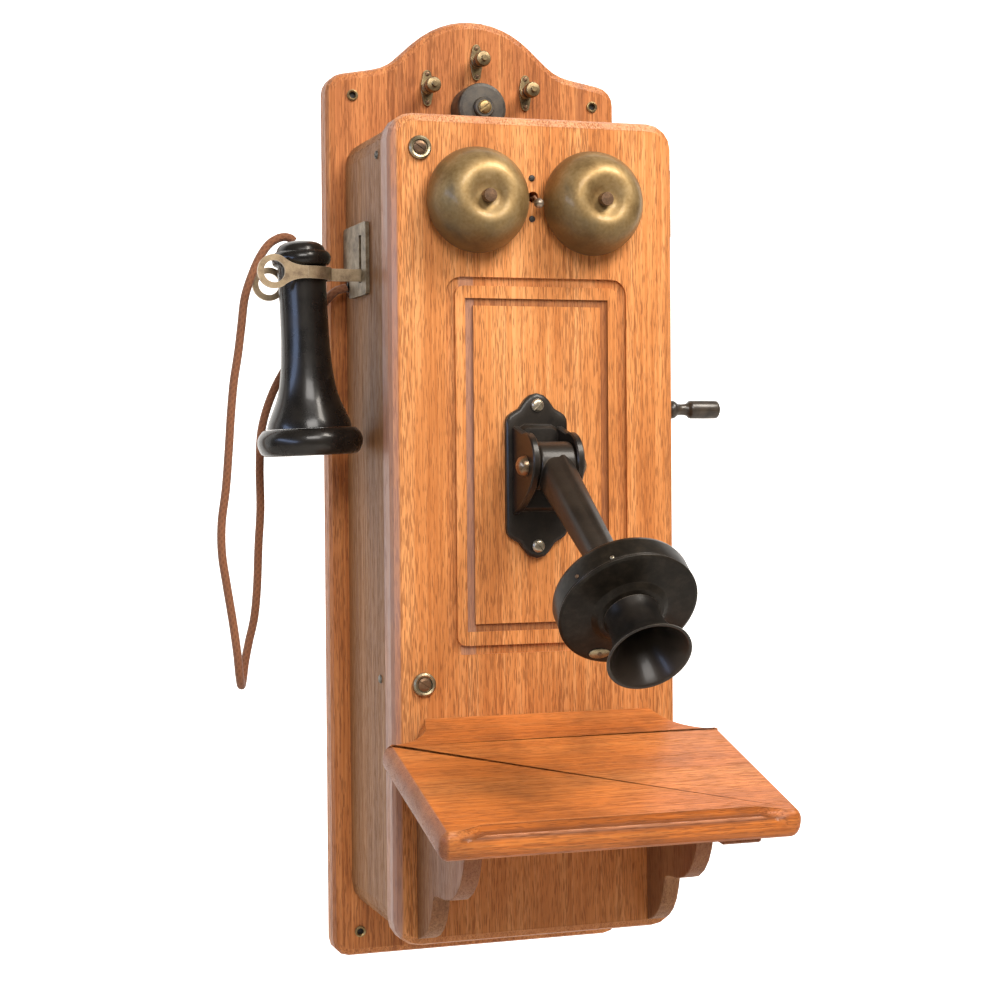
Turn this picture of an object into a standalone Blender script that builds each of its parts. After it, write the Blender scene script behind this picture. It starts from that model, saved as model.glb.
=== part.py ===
"""Wall crank telephone: an oak magneto wall set with outside gongs, writing shelf and hung receiver.

Frame: metres, +X to the right seen from the front, the front faces -Y, +Z up. The origin is on the
centre line of the backboard's back face, which lies on the wall at Y = 0.
"""
import math

import bpy
import bmesh
from mathutils import Matrix, Vector

# ---- driving dimensions -----------------------------------------------------------------
GAP = 0.0003                  # air left between two pieces that rest on each other

BOARD_HALF = 0.1145           # backboard, 229 mm wide
BOARD_THICK = 0.020
BOARD_BOTTOM = -0.360
BOARD_CREST = 0.3432
BOARD_EDGE = 0.006            # rounded front edge
WALL_HOLE = 0.0026            # radius of the four wall screw holes
WALL_HOLES = [(-0.0952, 0.2827), (0.0952, 0.2827), (-0.0950, -0.3412), (0.0950, -0.3412)]

CASE_HALF = 0.101             # case outside
CASE_TOP = 0.2487
CASE_BOTTOM = -0.3225
CASE_CORNER = 0.020
CASE_WALL = 0.012
CASE_BACK = -(BOARD_THICK + GAP)
CASE_FRONT = -0.1330
FINGERS = 13                  # comb joint fingers along the depth

DOOR_HALF = 0.105
DOOR_TOP = 0.2495
DOOR_BOTTOM = -0.3238
DOOR_CORNER = 0.018
DOOR_BACK = CASE_FRONT - GAP
DOOR_FRONT = -0.1540
DOOR_EDGE = 0.006

HINGE_X, HINGE_Y = 0.1085, -0.1335
HINGE_LEVELS = {"upper": 0.195, "lower": -0.270}
HINGE_HALF = 0.024
HINGE_BARREL = 0.0030
HINGE_PIN = 0.0013

DOOR_SCREW_X = -0.0833
DOOR_SCREW_LEVELS = {"upper": 0.2252, "lower": -0.1428}

GONG_RADIUS = 0.0365
GONG_Z = 0.1900
GONG_X = {"left": -0.0440, "right": 0.0405}

CLAPPER_X = -0.0010
CLAPPER_Z = 0.1940
CLAPPER_PIVOT_Y = -0.0960
CLAPPER_HOLE = 0.0040
BALL_RADIUS = 0.0036

PIVOT_Y, PIVOT_Z = -0.1870, 0.0070        # transmitter bracket pivot
CUP_TILT = math.radians(38.6)             # the mouthpiece looks down by this much
CUP_Y, CUP_Z = -0.3220, -0.0820           # centre of the transmitter's front rim
CUP_RADIUS = 0.0455

SHELF_HALF = 0.1225
SHELF_SLOPE = math.radians(16.5)
SHELF_THICK = 0.0200
SHELF_LENGTH = 0.1750
SHELF_Z = -0.1662                         # top surface where it meets the door
BRACKETS = {"left": (-0.0835, 1.0), "right": (0.0875, 0.82)}    # place, and depth against the left one
BRACKET_THICK = 0.0122

HOOK_Y = -0.0715                          # plane of the switch hook
HOOK_Z = 0.1444
HOOK_PIVOT_X = -0.0600
RECEIVER_X = -0.1472                      # receiver axis where it hangs in the fork
RECEIVER_LEAN = math.radians(-2.4)
RECEIVER_SEAT = 0.1500                    # underside of the tail cap's shoulder
FORK_INNER, FORK_OUTER = 0.0186, 0.0214

CRANK_Y, CRANK_Z = -0.0750, 0.0930
CRANK_ARM = 0.0450
SHAFT_RADIUS = 0.0040
MODULE = 0.0009
GEAR_TEETH, PINION_TEETH = 60, 12
TOOTH_SHARE = 0.82            # a tooth against half the pitch
ARMATURE_Z = CRANK_Z - MODULE * (GEAR_TEETH + PINION_TEETH) / 2 - 0.0002

CORD_RADIUS = 0.0031
CORD_HOLE_Y, CORD_HOLE_Z = -0.0320, 0.1390

# ---- scene and materials ----------------------------------------------------------------
for old in list(bpy.data.objects):
    bpy.data.objects.remove(old, do_unlink=True)

PARTS = bpy.data.collections.new("wall_crank_telephone")
CUTTERS = bpy.data.collections.new("cutters")
for group in (PARTS, CUTTERS):
    bpy.context.scene.collection.children.link(group)

FINISHES = {
    "oak_door": ((0.62, 0.27, 0.09), 0.42, 0.0),
    "oak_case": ((0.45, 0.24, 0.11), 0.50, 0.0),
    "oak_board": ((0.50, 0.20, 0.08), 0.45, 0.0),
    "gong_brass": ((0.42, 0.30, 0.12), 0.32, 0.9),
    "black_japan": ((0.012, 0.011, 0.010), 0.28, 0.0),
    "hard_rubber": ((0.010, 0.010, 0.011), 0.22, 0.0),
    "nickel": ((0.55, 0.50, 0.40), 0.35, 0.9),
    "brass": ((0.35, 0.25, 0.12), 0.40, 0.9),
    "steel": ((0.22, 0.21, 0.18), 0.45, 0.8),
    "magnet": ((0.05, 0.04, 0.04), 0.50, 0.4),
    "coil": ((0.10, 0.25, 0.12), 0.60, 0.0),
    "cell_card": ((0.45, 0.10, 0.06), 0.70, 0.0),
    "cord_cloth": ((0.25, 0.10, 0.05), 0.85, 0.0),
}
MATERIALS = {}


def material(name):
    """The Principled material of one finish."""
    if name not in MATERIALS:
        colour, roughness, metallic = FINISHES[name]
        made = bpy.data.materials.new(name)
        made.use_nodes = True
        shader = made.node_tree.nodes["Principled BSDF"]
        shader.inputs["Base Color"].default_value = (*colour, 1.0)
        shader.inputs["Roughness"].default_value = roughness
        shader.inputs["Metallic"].default_value = metallic
        MATERIALS[name] = made
    return MATERIALS[name]


def pivot(name, location, parent=None):
    """An empty on a joint's axis; what moves there is parented to it."""
    empty = bpy.data.objects.new(name, None)
    empty.location = Vector(location) - (parent["place"] if parent else Vector())
    PARTS.objects.link(empty)
    if parent:
        empty.parent = parent["empty"]
    return {"empty": empty, "place": Vector(location)}


def add(obj, finish, body=None):
    """Put a finished piece in the model, with its material, on its body's empty."""
    obj.data.materials.clear()
    obj.data.materials.append(material(finish))
    if body:
        obj.parent = body["empty"]
        obj.location = obj.location - body["place"]
    return obj


# ---- shapes -----------------------------------------------------------------------------
def link(name, data, group=PARTS):
    obj = bpy.data.objects.new(name, data)
    group.objects.link(obj)
    return obj


def as_mesh(obj):
    """Turn a curve object into a welded mesh object of the same name and place."""
    bpy.context.view_layer.update()
    evaluated = obj.evaluated_get(bpy.context.evaluated_depsgraph_get())
    mesh = bpy.data.meshes.new_from_object(evaluated)
    name, place = obj.name, obj.matrix_world.copy()
    group = obj.users_collection[0]
    bpy.data.objects.remove(obj)
    bm = bmesh.new()
    bm.from_mesh(mesh)
    bmesh.ops.remove_doubles(bm, verts=bm.verts, dist=1e-6)
    bmesh.ops.recalc_face_normals(bm, faces=bm.faces)
    bm.to_mesh(mesh)
    bm.free()
    made = link(name, mesh, group)
    made.name = name
    made.matrix_world = place
    return made


PLANES = {"XZ": (math.pi / 2, 0, 0), "YZ": (math.pi / 2, 0, math.pi / 2), "XY": (0, 0, 0)}


def plate(name, loops, low, high, plane="XZ", group=PARTS):
    """A flat outline, with holes as further loops, between two levels of the third axis.

    In the XZ plane the third axis is Y, in YZ it is X and in XY it is Z.
    """
    curve = bpy.data.curves.new(name, "CURVE")
    curve.dimensions = "2D"
    curve.fill_mode = "BOTH"
    curve.extrude = abs(high - low) / 2
    for loop in loops:
        spline = curve.splines.new("POLY")
        spline.points.add(len(loop) - 1)
        for point, (u, v) in zip(spline.points, loop):
            point.co = (u, v, 0, 1)
        spline.use_cyclic_u = True
    obj = link(name, curve, group)
    middle = (low + high) / 2
    obj.location = {"XZ": (0, middle, 0), "YZ": (middle, 0, 0), "XY": (0, 0, middle)}[plane]
    obj.rotation_euler = PLANES[plane]
    return as_mesh(obj)


def block(name, low, high, group=PARTS):
    """A box between two corners."""
    bm = bmesh.new()
    bmesh.ops.create_cube(bm, size=1.0)
    size = Vector(high) - Vector(low)
    bmesh.ops.scale(bm, vec=size, verts=bm.verts)
    mesh = bpy.data.meshes.new(name)
    bm.to_mesh(mesh)
    bm.free()
    obj = link(name, mesh, group)
    obj.location = (Vector(low) + Vector(high)) / 2
    return obj


AXES = {"Z": (0, 0, 0), "-Y": (math.pi / 2, 0, 0), "X": (0, math.pi / 2, 0), "-X": (0, -math.pi / 2, 0)}


def turned(name, profile, at, axis="Z", steps=24, closed=False, group=PARTS, rotation=None):
    """A turned piece. The profile's (radius, height) points run down its outer side."""
    mesh = bpy.data.meshes.new(name)
    count = len(profile)
    edges = [(i, i + 1) for i in range(count - 1)]
    if closed:
        edges.append((count - 1, 0))
    mesh.from_pydata([(r, 0, h) for r, h in profile], edges, [])
    obj = link(name, mesh, group)
    screw = obj.modifiers.new("turn", "SCREW")
    screw.axis = "Z"
    screw.angle = math.tau
    screw.steps = screw.render_steps = steps
    screw.use_merge_vertices = True
    screw.merge_threshold = 1e-5
    screw.use_smooth_shade = True
    obj.location = at
    obj.rotation_euler = rotation or AXES[axis]
    return obj


def rod(name, radius, low, high, at, axis="Z", steps=16, group=PARTS):
    """A plain round bar between two heights along its axis."""
    return turned(name, [(0, high), (radius, high), (radius, low), (0, low)], at, axis, steps, group=group)


def combine(target, other, operation="UNION"):
    """Join another shape to a piece, or take it away."""
    if other.name not in CUTTERS.objects:
        for group in other.users_collection:
            group.objects.unlink(other)
        CUTTERS.objects.link(other)
    other.hide_render = True
    other.display_type = "WIRE"
    boolean = target.modifiers.new(other.name, "BOOLEAN")
    boolean.operation = operation
    boolean.solver = "EXACT"
    boolean.object = other
    return target


def cut(target, other):
    return combine(target, other, "DIFFERENCE")


def join_boxes(name, boxes):
    """Several separate boxes as one cutter."""
    bm = bmesh.new()
    for low, high in boxes:
        made = bmesh.ops.create_cube(bm, size=1.0)["verts"]
        bmesh.ops.scale(bm, vec=Vector(high) - Vector(low), verts=made)
        bmesh.ops.translate(bm, vec=(Vector(low) + Vector(high)) / 2, verts=made)
    mesh = bpy.data.meshes.new(name)
    bm.to_mesh(mesh)
    bm.free()
    return link(name, mesh, CUTTERS)


def round_rim(obj, side, width, segments=2):
    """Round the outline's edges on one face of a plate; side is +1 for its local +Z face."""
    bm = bmesh.new()
    bm.from_mesh(obj.data)
    bmesh.ops.dissolve_limit(bm, angle_limit=0.01, verts=bm.verts, edges=bm.edges)
    level = max(side * v.co.z for v in bm.verts)
    rim = [e for e in bm.edges
           if all(abs(side * v.co.z - level) < 1e-7 for v in e.verts)
           and any(abs(f.normal.z) < 0.5 for f in e.link_faces)]
    bmesh.ops.bevel(bm, geom=rim, offset=width, offset_type="OFFSET", segments=segments,
                    profile=0.5, affect="EDGES", clamp_overlap=True)
    bmesh.ops.remove_doubles(bm, verts=bm.verts, dist=1e-6)
    bm.to_mesh(obj.data)
    bm.free()
    return obj


def arc(centre, radius, start, end, steps):
    """Points on an arc, angles in degrees, both ends included."""
    cx, cy = centre
    angles = [math.radians(start + (end - start) * i / steps) for i in range(steps + 1)]
    return [(cx + radius * math.cos(a), cy + radius * math.sin(a)) for a in angles]


def rounded(x0, x1, y0, y1, r, steps=4):
    """A rectangle with round corners, counter-clockwise."""
    return (arc((x1 - r, y0 + r), r, -90, 0, steps) + arc((x1 - r, y1 - r), r, 0, 90, steps)
            + arc((x0 + r, y1 - r), r, 90, 180, steps) + arc((x0 + r, y0 + r), r, 180, 270, steps))


def rectangle(x0, x1, y0, y1):
    return [(x0, y0), (x1, y0), (x1, y1), (x0, y1)]


def ring(radius, steps=12, centre=(0, 0)):
    return arc(centre, radius, 0, 360 * (steps - 1) / steps, steps - 1)


def mirrored(half):
    """A closed outline from its right half, which runs from the bottom to the top."""
    return half + [(-x, y) for x, y in reversed(half) if abs(x) > 1e-9]


# ---- backboard and case -----------------------------------------------------------------
def crest_outline():
    """Right half of the backboard: round lower corner, round shoulder, then an ogee to the crest."""
    half = [(0.0, BOARD_BOTTOM)] + arc((BOARD_HALF - 0.012, BOARD_BOTTOM + 0.012), 0.012, -90, 0, 3)
    shoulder = (BOARD_HALF - 0.0145, 0.2851)
    half += arc(shoulder, 0.0145, 0, 80, 4)
    top_arc, ogee = 0.068, 42.0
    inflection = (top_arc * math.sin(math.radians(ogee)),
                  BOARD_CREST - top_arc * (1 - math.cos(math.radians(ogee))))
    run = 0.0188
    foot = (inflection[0] + run * math.cos(math.radians(ogee)),
            inflection[1] - run * math.sin(math.radians(ogee)))
    cove = 0.0395
    cove_centre = (foot[0] + cove * math.sin(math.radians(ogee)),
                   foot[1] + cove * math.cos(math.radians(ogee)))
    half += list(reversed(arc(cove_centre, cove, 270 - ogee, 260, 3)))
    half += arc((0.0, BOARD_CREST - top_arc), top_arc, 90 - ogee, 90, 6)
    return half


def build_backboard():
    half = crest_outline()
    outline = [(x, z) for x, z in half] + [(-x, z) for x, z in reversed(half) if x > 1e-6]
    board = plate("backboard", [outline], -BOARD_THICK, 0.0)
    round_rim(board, 1, BOARD_EDGE, 2)
    for i, (x, z) in enumerate(WALL_HOLES):
        cut(board, rod("wall_hole_%d" % i, WALL_HOLE, -0.02, 0.05, (x, 0.005, z), "-Y", 12, CUTTERS))
    return add(board, "oak_board")


def build_case():
    """Four boards, comb-jointed at rounded corners."""
    corner_x = CASE_HALF - CASE_CORNER
    wall, radius = CASE_WALL, CASE_CORNER
    edge = math.degrees(math.acos((corner_x - (CASE_HALF - wall)) / -radius))
    side = (arc((corner_x, CASE_BOTTOM + radius), radius, -edge, 0, 3)
            + arc((corner_x, CASE_TOP - radius), radius, 0, edge, 3))
    lid = math.degrees(math.asin((radius - wall) / radius))
    top = arc((corner_x, CASE_TOP - radius), radius, lid, 90, 3)
    top = top + [(-x, z) for x, z in reversed(top)]
    bottom = [(x, CASE_TOP + CASE_BOTTOM - z) for x, z in reversed(top)]
    pitch = (CASE_BACK - CASE_FRONT) / FINGERS
    inner = CASE_HALF - wall
    over = 0.004
    for name, sign in (("case_left", -1), ("case_right", 1)):
        outline = [(sign * x, z) for x, z in side]
        if sign < 0:
            outline.reverse()
        board = plate(name, [outline], CASE_FRONT, CASE_BACK)
        slots = []
        for k in range(0, FINGERS, 2):
            y1 = CASE_BACK - k * pitch + GAP / 2 + (over if k == 0 else 0)
            y0 = CASE_BACK - (k + 1) * pitch - GAP / 2 - (over if k == FINGERS - 1 else 0)
            x0, x1 = sorted((sign * (inner - over), sign * (CASE_HALF + over)))
            slots.append(((x0, y0, CASE_TOP - wall - GAP), (x1, y1, CASE_TOP + over)))
            slots.append(((x0, y0, CASE_BOTTOM - over), (x1, y1, CASE_BOTTOM + wall + GAP)))
        cut(board, join_boxes(name + "_slots", slots))
        add(board, "oak_case")
    for name, outline, low, high in (("case_top", top, CASE_TOP - wall - over, CASE_TOP + over),
                                     ("case_bottom", bottom, CASE_BOTTOM - over, CASE_BOTTOM + wall + over)):
        board = plate(name, [outline], CASE_FRONT, CASE_BACK)
        slots = []
        for k in range(1, FINGERS, 2):
            y1 = CASE_BACK - k * pitch + GAP / 2
            y0 = CASE_BACK - (k + 1) * pitch - GAP / 2
            for sign in (-1, 1):
                x0, x1 = sorted((sign * (inner - GAP), sign * (CASE_HALF + over)))
                slots.append(((x0, y0, low), (x1, y1, high)))
        cut(board, join_boxes(name + "_slots", slots))
        add(board, "oak_case")


def drill_case():
    """Openings in the case sides: the hook slot and cord hole on the left, the crank hole on the right."""
    left, right = bpy.data.objects["case_left"], bpy.data.objects["case_right"]
    cut(left, block("hook_slot", (-0.115, HOOK_Y - 0.0040, 0.1350), (-0.080, HOOK_Y + 0.0040, 0.1760), CUTTERS))
    cut(left, rod("cord_hole", 0.0058, -0.02, 0.02, (-0.095, CORD_HOLE_Y, CORD_HOLE_Z), "X", 16, CUTTERS))
    cut(right, rod("crank_hole", 0.0088, -0.02, 0.02, (0.095, CRANK_Y, CRANK_Z), "X", 20, CUTTERS))


def build_board_fittings():
    """Three line posts and the lightning arrester above the case."""
    posts = {"left": (-0.0375, 0.2906), "centre": (0.0015, 0.3118), "right": (0.0405, 0.2905)}
    half_length, half_width = 0.0135, 0.0042
    face = -(BOARD_THICK + GAP)
    for name, (x, z) in posts.items():
        foot = arc((x, z), half_width, -50, 50, 3) + [(x, z + half_length)]
        foot += arc((x, z), half_width, 130, 230, 3) + [(x, z - half_length)]
        post = plate("binding_post_" + name, [foot], face - 0.0016, face)
        stem = turned(post.name + "_stem", [
            (0, 0.0225), (0.0022, 0.0225), (0.0022, 0.0200), (0.0052, 0.0195), (0.0058, 0.0180),
            (0.0058, 0.0140), (0.0050, 0.0125), (0.0032, 0.0120), (0.0032, 0.0080), (0.0045, 0.0070),
            (0.0045, 0.0008), (0, 0.0008)], (x, face, z), "-Y", 16)
        add(combine(post, stem), "brass")
    cap = turned("arrester_cap", [
        (0, 0.0250), (0.0070, 0.0250), (0.0078, 0.0240), (0.0080, 0.0215), (0.0160, 0.0210),
        (0.0182, 0.0200), (0.0190, 0.0180), (0.0190, 0.0), (0, 0.0)], (0.0, face, 0.2745), "-Y", 28)
    add(cap, "hard_rubber")


# ---- door -------------------------------------------------------------------------------
def groove(name, outer, inner, depth):
    """A routed channel between two outlines in the door's face."""
    channel = plate(name, [outer, inner], DOOR_FRONT - 0.004, DOOR_FRONT + depth, group=CUTTERS)
    return channel


def build_door(body):
    outline = rounded(-DOOR_HALF, DOOR_HALF, DOOR_BOTTOM, DOOR_TOP, DOOR_CORNER, 4)
    door = plate("door", [outline], DOOR_FRONT, DOOR_BACK)
    round_rim(door, 1, DOOR_EDGE, 2)
    shift = 0.0015
    outer = rounded(shift - 0.0668, shift + 0.0668, -0.1235, 0.1378, 0.011, 4)
    outer_in = rounded(shift - 0.0600, shift + 0.0600, -0.1174, 0.1317, 0.0062, 3)
    cut(door, groove("door_groove_outer", outer, outer_in, 0.0028))
    inner = rectangle(shift - 0.0528, shift + 0.0528, -0.1078, 0.1232)
    inner_in = rectangle(shift - 0.0470, shift + 0.0470, -0.1025, 0.1180)
    cut(door, groove("door_groove_inner", inner, inner_in, 0.0022))
    for name, z in DOOR_SCREW_LEVELS.items():
        cut(door, rod("door_screw_hole_" + name, 0.0030, -0.01, 0.04, (DOOR_SCREW_X, DOOR_BACK + 0.005, z),
                      "-Y", 12, CUTTERS))
    cut(door, rod("clapper_hole", CLAPPER_HOLE, -0.01, 0.04, (CLAPPER_X, DOOR_BACK + 0.005, CLAPPER_Z),
                  "-Y", 16, CUTTERS))
    add(door, "oak_door", body)


def build_door_screws(body):
    """Slotted screws in cup washers on the door, and the lugs in the case that they run into."""
    face = DOOR_FRONT - GAP
    for name, z in DOOR_SCREW_LEVELS.items():
        cup = turned("door_screw_cup_" + name, [
            (0.0068, 0.0030), (0.0080, 0.0022), (0.0083, 0.0), (0.0032, 0.0), (0.0032, 0.0008),
            (0.0052, 0.0008), (0.0056, 0.0026)], (DOOR_SCREW_X, face, z), "-Y", 24, closed=True)
        add(cup, "nickel", body)
        depth = DOOR_BACK - face + 0.0075
        screw = turned("door_screw_" + name, [
            (0, 0.0024), (0.0030, 0.0023), (0.0046, 0.0018), (0.0048, 0.0012), (0.0022, 0.0011),
            (0.0022, -depth), (0, -depth)], (DOOR_SCREW_X, face, z), "-Y", 20)
        slot = block("door_screw_slot_" + name, (-0.0060, -0.0005, 0.0016), (0.0060, 0.0005, 0.0040), CUTTERS)
        slot.location = (DOOR_SCREW_X, face - 0.0028, z)
        slot.rotation_euler = (math.pi / 2, math.radians(35), 0)
        cut(screw, slot)
        add(screw, "brass", body)
        inner = -(CASE_HALF - CASE_WALL) + GAP
        lug = block("door_screw_lug_" + name, (inner, -0.1315, z - 0.0080), (-0.0772, -0.1050, z + 0.0080))
        cut(lug, rod("lug_bore_" + name, 0.0030, -0.030, 0.018, (DOOR_SCREW_X, -0.1200, z), "-Y", 12, CUTTERS))
        add(lug, "steel")


def build_hinges(body):
    """Two butt hinges on the right: a leaf on the case, a leaf on the door and a loose pin."""
    third = HINGE_HALF * 2 / 3
    bore = ring(HINGE_PIN + 0.0003, 10, (HINGE_X, HINGE_Y))
    for name, z in HINGE_LEVELS.items():
        low, high = z - HINGE_HALF, z + HINGE_HALF
        case_leaf = [(CASE_HALF + GAP, -0.1060), (CASE_HALF + GAP, -0.1315), (HINGE_X - 0.0010, -0.1315),
                     (HINGE_X + 0.0005, -0.1310), (HINGE_X + 0.0005, -0.1295), (CASE_HALF + 0.0020, -0.1295),
                     (CASE_HALF + 0.0020, -0.1060)]
        leaf = plate("hinge_case_leaf_" + name, [case_leaf], low, high, "XY")
        cut(leaf, block("case_leaf_gap_" + name, (HINGE_X - 0.0040, -0.1400, z - third / 2 - GAP),
                        (HINGE_X + 0.0060, -0.1200, z + third / 2 + GAP), CUTTERS))
        for part, (z0, z1) in (("a", (low, z - third / 2 - GAP)), ("b", (z + third / 2 + GAP, high))):
            knuckle = plate("case_knuckle_%s_%s" % (name, part), [ring(HINGE_BARREL, 14, (HINGE_X, HINGE_Y)), bore],
                            z0, z1, "XY", CUTTERS)
            combine(leaf, knuckle)
        add(leaf, "brass")
        edge = DOOR_HALF + GAP
        door_leaf = [(edge, -0.1425), (edge, -0.1352), (HINGE_X - 0.0012, -0.1352), (HINGE_X + 0.0014, -0.1352),
                     (HINGE_X + 0.0010, -0.1372), (edge + 0.0014, -0.1372), (edge + 0.0014, -0.1425)]
        leaf = plate("hinge_door_leaf_" + name, [door_leaf], low, high, "XY")
        cut(leaf, join_boxes("door_leaf_gap_" + name, [
            ((HINGE_X - 0.0034, -0.1376, low - 0.002), (HINGE_X + 0.0060, -0.1300, z - third / 2 + GAP)),
            ((HINGE_X - 0.0034, -0.1376, z + third / 2 - GAP), (HINGE_X + 0.0060, -0.1300, high + 0.002))]))
        combine(leaf, plate("door_knuckle_" + name, [ring(HINGE_BARREL, 14, (HINGE_X, HINGE_Y)), bore],
                            z - third / 2, z + third / 2, "XY", CUTTERS))
        add(leaf, "brass", body)
        pin = turned("hinge_pin_" + name, [
            (0, high + 0.0032), (0.0018, high + 0.0026), (0.0024, high + 0.0014), (0.0024, high + GAP),
            (HINGE_PIN, high + GAP), (HINGE_PIN, low - 0.0010), (0, low - 0.0010)], (HINGE_X, HINGE_Y, 0), "Z", 12)
        add(pin, "brass")


# ---- bell -------------------------------------------------------------------------------
def build_gongs(body):
    """Two dished brass gongs, each clamped on a turned post by the post's own head."""
    face = DOOR_FRONT - GAP
    outside = [(0.0028, 0.0296), (0.0070, 0.0298), (0.0120, 0.0326), (0.0165, 0.0342), (0.0215, 0.0333),
               (0.0275, 0.0284), (0.0325, 0.0206), (0.0354, 0.0126), (GONG_RADIUS, 0.0062)]
    wall = 0.0016
    inside = [(GONG_RADIUS - wall, 0.0062), (0.0338, 0.0122), (0.0310, 0.0196), (0.0263, 0.0269),
              (0.0208, 0.0316), (0.0165, 0.0325), (0.0124, 0.0309), (0.0074, 0.0282), (0.0028, 0.0280)]
    for name, x in GONG_X.items():
        gong = turned("gong_" + name, outside + inside, (x, face, GONG_Z), "-Y", 24, closed=True)
        add(gong, "gong_brass", body)
        post = turned("gong_post_" + name, [
            (0, 0.0362), (0.0044, 0.0360), (0.0048, 0.0350), (0.0048, 0.0300), (0.0024, 0.0299), (0.0024, 0.0276),
            (0.0042, 0.0275), (0.0042, 0.0050), (0.0075, 0.0035), (0.0080, 0.0), (0, 0.0)],
            (x, face, GONG_Z), "-Y", 16)
        add(post, "brass", body)


def build_ringer(body, swing):
    """Two coils on a yoke behind the door; the armature rocks between them and swings the clapper."""
    back = DOOR_BACK + GAP
    x, z = CLAPPER_X, CLAPPER_Z
    leg, leg_end = 0.0225, CLAPPER_PIVOT_Y + 0.0060
    frame = plate("ringer_frame", [rectangle(x - 0.0310, x + 0.0310, z - leg - 0.0030, z + leg + 0.0030),
                                   ring(0.0055, 12, (x, z))], back, back + 0.0028)
    for name, sign in (("top", 1), ("bottom", -1)):
        z0, z1 = sorted((z + sign * leg, z + sign * (leg + 0.0030)))
        combine(frame, block("ringer_leg_" + name, (x - 0.0060, back + 0.0010, z0), (x + 0.0060, leg_end, z1)))
    add(frame, "steel", body)
    for name, sign in (("left", -1), ("right", 1)):
        start, end = back + 0.0028 + GAP, CLAPPER_PIVOT_Y - 0.0060
        length = end - start
        coil = turned("ringer_coil_" + name, [
            (0, -0.0), (0.0040, -0.0), (0.0040, -0.0020), (0.0105, -0.0020), (0.0105, -0.0036),
            (0.0094, -0.0036), (0.0094, -length + 0.0016), (0.0105, -length + 0.0016), (0.0105, -length),
            (0, -length)], (x + sign * 0.0185, end, z), "-Y", 16)
        coil.rotation_euler = (-math.pi / 2, 0, 0)
        add(coil, "coil", body)
    arm = block("clapper", (x - 0.0275, CLAPPER_PIVOT_Y - 0.0030, z - 0.0060),
                (x + 0.0275, CLAPPER_PIVOT_Y + 0.0030, z + 0.0060))
    combine(arm, rod("clapper_pins", 0.0022, -leg + 2 * GAP, leg - 2 * GAP, (x, CLAPPER_PIVOT_Y, z), "Z", 12))
    ball_y, ball_z = -0.1660, 0.1885
    reach = CLAPPER_PIVOT_Y - DOOR_FRONT
    wire = bpy.data.curves.new("clapper_rod", "CURVE")
    wire.dimensions = "3D"
    wire.bevel_depth = 0.0010
    wire.bevel_resolution = 1
    wire.use_fill_caps = True
    spline = wire.splines.new("POLY")
    route = [(x, CLAPPER_PIVOT_Y - 0.0020, z), (x, CLAPPER_PIVOT_Y - 0.6 * reach, z), (x, DOOR_FRONT - 0.003, z),
             (x, ball_y, ball_z)]
    spline.points.add(len(route) - 1)
    for point, place in zip(spline.points, route):
        point.co = (*place, 1)
    combine(arm, as_mesh(link("clapper_rod", wire, CUTTERS)))
    ball = bpy.data.meshes.new("clapper_ball")
    bm = bmesh.new()
    bmesh.ops.create_uvsphere(bm, u_segments=16, v_segments=10, radius=BALL_RADIUS)
    bm.to_mesh(ball)
    bm.free()
    knob = link("clapper_ball", ball, CUTTERS)
    knob.location = (x, ball_y, ball_z)
    combine(arm, knob)
    add(arm, "steel", swing)


# ---- transmitter ------------------------------------------------------------------------
def cup_frame():
    """Rotation whose local +Z is the way the mouthpiece looks."""
    return (math.pi / 2 + CUP_TILT, 0, 0)


def along(distance):
    """A point on the transmitter's axis, in front of its rim by a distance."""
    return (0.0, CUP_Y - distance * math.cos(CUP_TILT), CUP_Z - distance * math.sin(CUP_TILT))


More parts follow.
